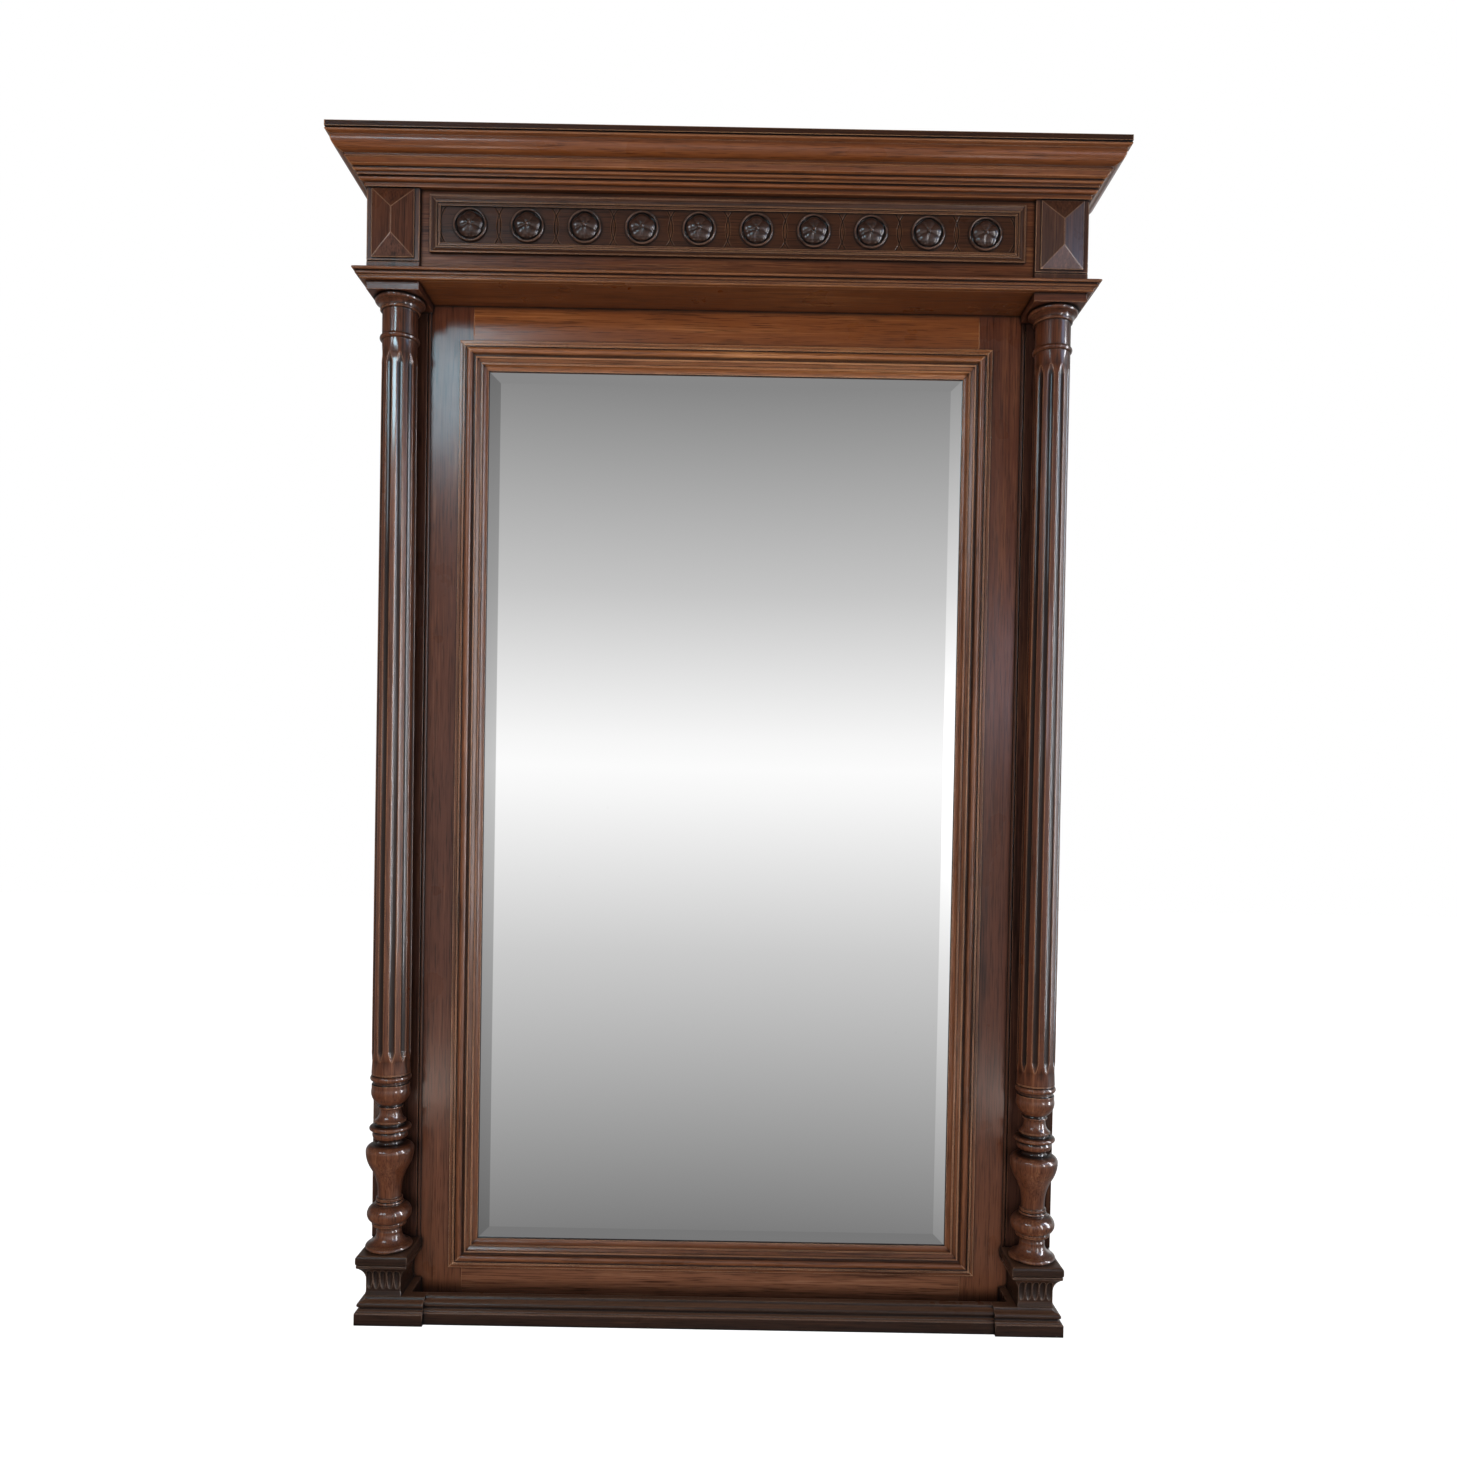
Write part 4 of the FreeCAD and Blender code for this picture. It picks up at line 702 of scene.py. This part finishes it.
class Dressing:
    """Gives every piece of the frame its finish, and keeps one material for each finish and grain."""

    UPRIGHTS = ("stile", "back_strip", "baluster", "column_shaft", "corner_block", "diamond_point",
                "moulding_left", "moulding_right")
    RETURNS = ("left_return", "right_return")
    OWN_FINISH = {
        "plinth": PLINTH_WALNUT,
        "base_board": PLINTH_WALNUT,
        "sight_moulding_top": TOP_WALNUT,
        "sight_moulding": MOULDED_WALNUT,
        # The bottom rail takes a lighter copy of the wood: painted light.
        "bottom_rail": PAINTED_LIGHT_RAIL_WALNUT,
        # The right-hand strip, block, diamond and shaft take darker copies: painted shade.
        "right_back_strip": SHADED_STRIP_WALNUT,
        "back_strip": STRIP_WALNUT,
        "right_diamond": SHADED_BLOCK_WALNUT,
        "right_corner_block": SHADED_BLOCK_WALNUT,
        "ledge": LEDGE_WALNUT,
        "right_column_shaft": SHADED_SHAFT_WALNUT,
        "column_shaft": SHAFT_WALNUT,
        "baluster": TURNED_WALNUT,
        "diamond": BLOCK_WALNUT,
        "corner_block": BLOCK_WALNUT,
        "frieze_moulding": BEAD_WALNUT,
        "frieze": FRIEZE_WALNUT,
        "top_rail": WARM_WALNUT,
        "cornice": WARM_WALNUT,
    }

    def __init__(self, nodes: dict[str, bpy.types.Object]) -> None:
        """Keeps the nodes that are to be dressed."""
        self.nodes = nodes
        self.made: dict[tuple[str, str], bpy.types.Material] = {}

    def wood(self, finish: WoodFinish, grain: Grain) -> bpy.types.Material:
        """The material for one finish and grain, made once.

        Args:
            finish: The wood's finish.
            grain: The way its fibres run.

        Returns:
            The material.
        """
        key = (finish.name, grain.name)
        if key not in self.made:
            self.made[key] = finish.material(grain)
        return self.made[key]

    def grain_of(self, name: str) -> Grain:
        """Tells how the fibres run in one piece.

        Args:
            name: The piece's name.

        Returns:
            The way of its grain.
        """
        if any(word in name for word in self.UPRIGHTS):
            return Grain.UPRIGHT
        return Grain.DEEP if any(word in name for word in self.RETURNS) else Grain.ACROSS

    def material_of(self, name: str) -> bpy.types.Material:
        """Chooses one piece's material.

        Args:
            name: The piece's name.

        Returns:
            Its material.
        """
        if "back_board" in name or name == "glass_blocks":
            return self.wood(BARE_WOOD, Grain.UPRIGHT)
        if name == "frame_pegs":
            return self.wood(PEG_WOOD, Grain.DEEP)
        if name.startswith("rosette"):
            return self.wood(CARVED_WALNUT, Grain.ACROSS)
        for word, finish in self.OWN_FINISH.items():
            if word in name:
                return self.wood(finish, self.grain_of(name))
        return self.wood(DARK_WALNUT, self.grain_of(name))

    def dress(self) -> None:
        """Puts a material on every node."""
        smooth = {"mirror_glass": MirrorFinish(), "back_screws": SCREW_STEEL, "hanger_plates": HANGER_IRON}
        special = {name: finish.material() for name, finish in smooth.items()}
        for name, node in self.nodes.items():
            if name.endswith("hanger_ring"):
                material = special["hanger_plates"]
            else:
                material = special.get(name) or self.material_of(name)
            node.data.materials.clear()
            node.data.materials.append(material)
            log.info("dressed %s in %s", name, material.name)


@dataclass
class RosetteRow:
    """The carved rosettes of the frieze: a beaded ring round a domed flower with a small button."""

    petals: int = 5
    ring_place: float = 0.92
    ring_bead: float = 0.075
    ring_rise: float = 1.5
    ring_foot: float = 0.14
    ring_steps: int = 8
    groove_place: float = 0.81
    groove_floor: float = 0.03
    groove_slope: float = 0.3
    dome_radius: float = 0.785
    dome_foot: float = 0.24
    dome_top: float = 0.76
    dome_sweep: float = math.radians(79)
    dome_steps: int = 10
    notch: float = 0.1
    crease: float = 0.14
    crease_onset: float = 2.2
    crease_inside: float = 1.1
    crease_fall: float = 0.5
    button_radius: float = 0.12
    button_foot: float = 0.7
    button_rise: float = 0.3
    button_steps: int = 6
    button_margin: float = 1.02
    groove_margin: float = 0.99
    rounds: int = 80
    merge_reach: float = 1e-6

    def arch(self, sweep: float, steps: int) -> list[tuple[float, float]]:
        """Points of an arch from its outer foot, each as cosine and sine."""
        turns = [sweep * step / steps for step in range(steps + 1)]
        return [(math.cos(turn), math.sin(turn)) for turn in turns]

    def outline(self, radius: float, height: float) -> list[tuple[float, float]]:
        """Half outline of the ring, the groove, the dome and the button.

        Args:
            radius: Outer radius.
            height: Height of the whole rosette.

        Returns:
            Distances from the axis, each with its height.
        """
        bead = self.ring_bead * radius
        points = [(radius, 0.0)]
        for out, up in self.arch(math.pi, self.ring_steps):
            points.append((self.ring_place * radius + bead * out,
                           self.ring_foot * height + self.ring_rise * bead * up))
        points.append((self.groove_place * radius + bead * self.groove_slope, self.groove_floor * height))
        points.append((self.groove_place * radius, self.groove_floor * height))
        rise = (self.dome_top - self.dome_foot) * height
        for out, up in self.arch(self.dome_sweep, self.dome_steps):
            points.append((self.dome_radius * radius * out, self.dome_foot * height + rise * up))
        for out, up in self.arch(math.pi / 2, self.button_steps):
            points.append((self.button_radius * radius * out,
                           height * (self.button_foot + self.button_rise * up)))
        return points

    def press(self, bm: bmesh.types.BMesh, radius: float, height: float) -> None:
        """Presses the creases between the petals into the turned dome.

        Args:
            bm: The turned mesh, its axis upright.
            radius: Outer radius.
            height: Height of the whole rosette.
        """
        inner = self.button_radius * radius * self.button_margin
        outer = self.groove_place * radius * self.groove_margin
        for vert in bm.verts:
            reach = math.hypot(vert.co.x, vert.co.y)
            if inner < reach < outer:
                turn = math.atan2(vert.co.y, vert.co.x) - math.pi / 2
                between = 1 - abs(math.cos(self.petals * turn / 2))
                out = reach / outer
                vert.co.xy *= 1 - self.notch * between * out
                onset = min(1.0, self.crease_onset * out)
                depth = self.crease_inside - self.crease_fall * out
                vert.co.z -= self.crease * height * between * onset * depth

    def carve(self, name: str, body: str, material: bpy.types.Material) -> bpy.types.Object:
        """Models one rosette in the place of its plain solid.

        Args:
            name: The solid's name.
            body: The body that it moves with.
            material: Its finish.

        Returns:
            The carved piece.
        """
        low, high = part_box(name)
        radius, height = (high.x - low.x) / 2, high.y - low.y
        bm = bmesh.new()
        edge = [bm.verts.new((across, 0.0, up)) for across, up in self.outline(radius, height)]
        for first, second in zip(edge, edge[1:]):
            bm.edges.new((first, second))
        bmesh.ops.spin(bm, geom=bm.verts[:] + bm.edges[:], cent=(0, 0, 0), axis=(0, 0, 1), dvec=(0, 0, 0),
                       angle=math.tau, steps=self.rounds, use_merge=True)
        bmesh.ops.remove_doubles(bm, verts=bm.verts[:], dist=self.merge_reach)
        self.press(bm, radius, height)
        bmesh.ops.recalc_face_normals(bm, faces=bm.faces[:])
        centre = Vector(((low.x + high.x) / 2, high.y, (low.z + high.z) / 2))
        bmesh.ops.transform(bm, matrix=Matrix.Translation(centre) @ Matrix.Rotation(math.pi / 2, 4, "X"),
                            verts=bm.verts[:])
        for face in bm.faces:
            face.smooth = True
        mesh = bpy.data.meshes.new(f"{name}_carving")
        bm.to_mesh(mesh)
        bm.free()
        mesh.materials.append(material)
        piece = bpy.data.objects.new(f"{name}_carving", mesh)
        bpy.context.scene.collection.objects.link(piece)
        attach(piece, body)
        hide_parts(name)
        return piece

    def build(self, dressing: Dressing) -> None:
        """Carves every rosette of the row.

        Args:
            dressing: Holds the frame's pieces and their materials.
        """
        material = dressing.wood(CARVED_WALNUT, Grain.ACROSS)
        for name in sorted(dressing.nodes):
            if name.startswith("rosette"):
                piece = self.carve(name, "mirror", material)
                log.info("carved %s", piece.name)


@dataclass
class PhotoCamera:
    """The camera at the photograph's viewing angle."""

    yaw: float = 0.077
    pitch: float = 1.048
    roll: float = 1.0206
    place: tuple[float, float, float] = (0.0245, -1.5653, 0.7532)
    focal: float = 1100.0
    image: float = 1457.0
    axis_across: float = 736.6
    axis_down: float = 816.3
    sensor: float = 36.0
    near: float = 0.01
    far: float = 100.0

    def build(self) -> bpy.types.Object:
        """Makes the camera and lets the scene look through it.

        Returns:
            The camera.
        """
        data = bpy.data.cameras.new("photo_camera")
        data.sensor_width = self.sensor
        data.lens = self.focal / self.image * self.sensor
        data.shift_x = -(self.axis_across - self.image / 2) / self.image
        data.shift_y = (self.axis_down - self.image / 2) / self.image
        data.clip_start, data.clip_end = self.near, self.far
        base = Matrix(((1, 0, 0), (0, 0, -1), (0, 1, 0)))
        turn = Matrix.Rotation(math.radians(self.roll), 3, "Z") @ base
        turn = turn @ Matrix.Rotation(math.radians(self.pitch), 3, "X")
        turn = turn @ Matrix.Rotation(math.radians(self.yaw), 3, "Z")
        axes = Matrix((turn[0], -turn[1], -turn[2])).transposed()
        camera = bpy.data.objects.new("photo_camera", data)
        camera.matrix_world = Matrix.Translation(self.place) @ axes.to_4x4()
        bpy.context.scene.collection.objects.link(camera)
        bpy.context.scene.camera = camera
        return camera


@dataclass(frozen=True)
class Softbox:
    """One flat lamp: where it hangs, what it looks at, its size, brightness and colour."""

    name: str
    place: tuple[float, float, float]
    width: float
    height: float
    brightness: float
    colour: Colour = WHITE
    target: tuple[float, float, float] = (0.0, 0.0, 0.8)
    in_mirrors: bool = True
    on_matt: bool = True
    past_columns: bool = False

    def build(self, passed: bpy.types.Collection) -> bpy.types.Object:
        """Hangs the lamp.

        Args:
            passed: The pieces that the lamp passes by if it only polishes the wood.

        Returns:
            The lamp.
        """
        data = bpy.data.lights.new(self.name, "AREA")
        data.shape = "RECTANGLE"
        data.size, data.size_y = self.width, self.height
        data.energy = self.brightness * math.pi * self.width * self.height
        data.color = self.colour
        lamp = bpy.data.objects.new(self.name, data)
        lamp.location = self.place
        lamp.visible_glossy = self.in_mirrors
        lamp.visible_diffuse = self.on_matt
        lamp.visible_camera = False
        if not self.on_matt:
            lamp.light_linking.receiver_collection = passed
        aim = Vector(self.target) - Vector(self.place)
        lamp.rotation_mode = "QUATERNION"
        lamp.rotation_quaternion = aim.to_track_quat("-Z", "Y")
        bpy.context.scene.collection.objects.link(lamp)
        return lamp


@dataclass
class Studio:
    """A pale floor, soft lamps and an even surround that is white to the camera."""

    floor_half: float = 6.0
    floor_colour: Colour = (0.86, 0.86, 0.86)
    floor_glow: float = 0.9
    ambient: float = 0.16
    band_span: tuple[float, float] = (-0.5, 0.5)
    band_greys: tuple[tuple[float, int], ...] = (
        (0.12, 120), (0.36, 206), (0.5, 250), (0.525, 255), (0.55, 250), (0.68, 200), (0.845, 136))
    dim_side: tuple[float, float] = (-0.42, -0.24)
    dim_share: float = 0.5
    bright_side: tuple[float, float] = (0.24, 0.42)
    bright_share: float = 1.45
    lamps: tuple[Softbox, ...] = (
        Softbox("front_fill", (-0.9, -3.1, 0.9), width=2.0, height=1.6, brightness=3.4, in_mirrors=False),
        Softbox("back_fill", (0.8, 3.2, 1.7), width=2.0, height=1.6, brightness=3.0, in_mirrors=False),
        Softbox("low_fill", (0.0, -2.1, 0.38), width=1.8, height=0.7, brightness=5.6, in_mirrors=False),
        Softbox("front_strip", (0.0, -2.6, 0.95), width=1.2, height=0.3, brightness=3.0, on_matt=False),
        Softbox("left_window", (-1.08, -2.5, 2.26), width=0.36, height=0.42, brightness=42.0,
                colour=(0.55, 0.85, 1.0), target=(-0.42, 0.0, 1.35), on_matt=False),
        Softbox("left_side_window", (-1.75, -1.9, 1.95), width=0.45, height=0.6, brightness=22.0,
                colour=(0.72, 0.88, 1.0), on_matt=False),
        Softbox("right_strip", (2.05, -2.2, 1.1), width=0.22, height=2.0, brightness=40.0,
                colour=(0.97, 0.98, 1.0), on_matt=False),
        Softbox("far_right_strip", (2.5, -0.45, 1.1), width=0.35, height=2.2, brightness=54.0,
                colour=(0.9, 0.93, 1.0), on_matt=False),
        Softbox("right_window", (2.45, -1.35, 2.1), width=0.8, height=0.9, brightness=7.0,
                colour=(0.35, 0.6, 1.0), on_matt=False),
        Softbox("right_glow", (1.1, -2.5, 1.2), width=0.26, height=0.5, brightness=10.0,
                colour=(0.88, 0.82, 1.0), on_matt=False),
        Softbox("left_floor_glow", (-0.72, -1.0, 0.04), width=0.24, height=0.6, brightness=13.0,
                colour=(1.0, 0.9, 0.8), target=(-0.72, -1.1, 1.0), on_matt=False, past_columns=True),
        Softbox("right_floor_glow", (0.72, -1.0, 0.04), width=0.24, height=0.6, brightness=13.0,
                colour=(1.0, 0.92, 0.86), target=(0.72, -1.1, 1.0), on_matt=False, past_columns=True),
    )

    def floor(self) -> bpy.types.Object:
        """Lays the floor, white to the camera but for the object's shadow.

        Returns:
            The floor.
        """
        bm = bmesh.new()
        bmesh.ops.create_grid(bm, x_segments=1, y_segments=1, size=self.floor_half)
        mesh = bpy.data.meshes.new("floor")
        bm.to_mesh(mesh)
        bm.free()
        made, bench = fresh_material("pale_floor")
        matt = bench.add("ShaderNodeBsdfDiffuse", {"Color": self.floor_colour})
        seen = bench.add("ShaderNodeLightPath").outputs["Is Camera Ray"]
        strength = bench.math("MULTIPLY", seen, self.floor_glow)
        glow = bench.add("ShaderNodeEmission", {"Color": WHITE, "Strength": strength})
        mixed = bench.add("ShaderNodeAddShader", {0: matt.outputs[0], 1: glow.outputs[0]})
        bench.finish(mixed.outputs[0])
        mesh.materials.append(made)
        floor = bpy.data.objects.new("floor", mesh)
        bpy.context.scene.collection.objects.link(floor)
        floor.visible_glossy = False
        return floor

    def surround(self) -> None:
        """Makes the world: white to the camera, a soft band of light to mirrors, and even elsewhere."""
        world = bpy.data.worlds.new("studio")
        bpy.context.scene.world = world
        world.use_nodes = True
        bench = NodeBench(world.node_tree)
        direction = bench.add("ShaderNodeTexCoord").outputs["Generated"]
        axes = bench.add("ShaderNodeSeparateXYZ", {0: direction}).outputs
        height = bench.spread(axes["Z"], *self.band_span, 0.0, 1.0)
        band = bench.ramp(height, [(place, tone(grey, grey, grey)) for place, grey in self.band_greys])
        dimmed = bench.spread(axes["X"], *self.dim_side, self.dim_share, 1.0)
        raised = bench.spread(axes["X"], *self.bright_side, 1.0, self.bright_share)
        band = bench.mix("MULTIPLY", 1.0, band, bench.math("MULTIPLY", dimmed, raised))
        rays = bench.add("ShaderNodeLightPath").outputs
        even = (self.ambient,) * 3
        lit = bench.mix("MIX", rays["Is Glossy Ray"], even, band)
        plain = bench.math("MAXIMUM", rays["Is Camera Ray"], rays["Is Transmission Ray"])
        colour = bench.mix("MIX", plain, lit, WHITE)
        shader = bench.add("ShaderNodeBackground", {"Color": colour, "Strength": 1.0})
        bench.finish(shader.outputs[0], "ShaderNodeOutputWorld")

    def passed_by(self, name: str, pieces: list[bpy.types.Object]) -> bpy.types.Collection:
        """Groups pieces that some lamps leave unlit.

        Args:
            name: The group's name.
            pieces: What is in it.

        Returns:
            The group, for a lamp to pass by.
        """
        group = bpy.data.collections.new(name)
        for piece in pieces:
            group.objects.link(piece)
        for entry in group.collection_objects:
            entry.light_linking.link_state = "EXCLUDE"
        return group

    def build(self, nodes: dict[str, bpy.types.Object]) -> None:
        """Sets up the floor, the surround, the lamps and the plain colour display.

        Args:
            nodes: The frame's pieces. The glass shows the surround and none of the lamps.
        """
        log.info("laid %s", self.floor().name)
        self.surround()
        glass = [nodes["mirror_glass"]]
        columns = [node for name, node in nodes.items() if "column_shaft" in name or "baluster" in name]
        clear_glass = self.passed_by("glass_without_lamps", glass)
        clear_columns = self.passed_by("columns_without_glow", glass + columns)
        for softbox in self.lamps:
            lamp = softbox.build(clear_columns if softbox.past_columns else clear_glass)
            log.info("hung %s", lamp.name)
        bpy.context.scene.view_settings.view_transform = "Standard"


def main() -> None:
    """Builds the camera, the studio and the finished mirror."""
    logging.basicConfig(level=logging.INFO, format="%(message)s")
    camera = PhotoCamera().build()
    log.info("placed %s", camera.name)
    Studio().build(frame["nodes"])
    dressing = Dressing(frame["nodes"])
    dressing.dress()
    RosetteRow().build(dressing)


if __name__ == "__main__":
    main()
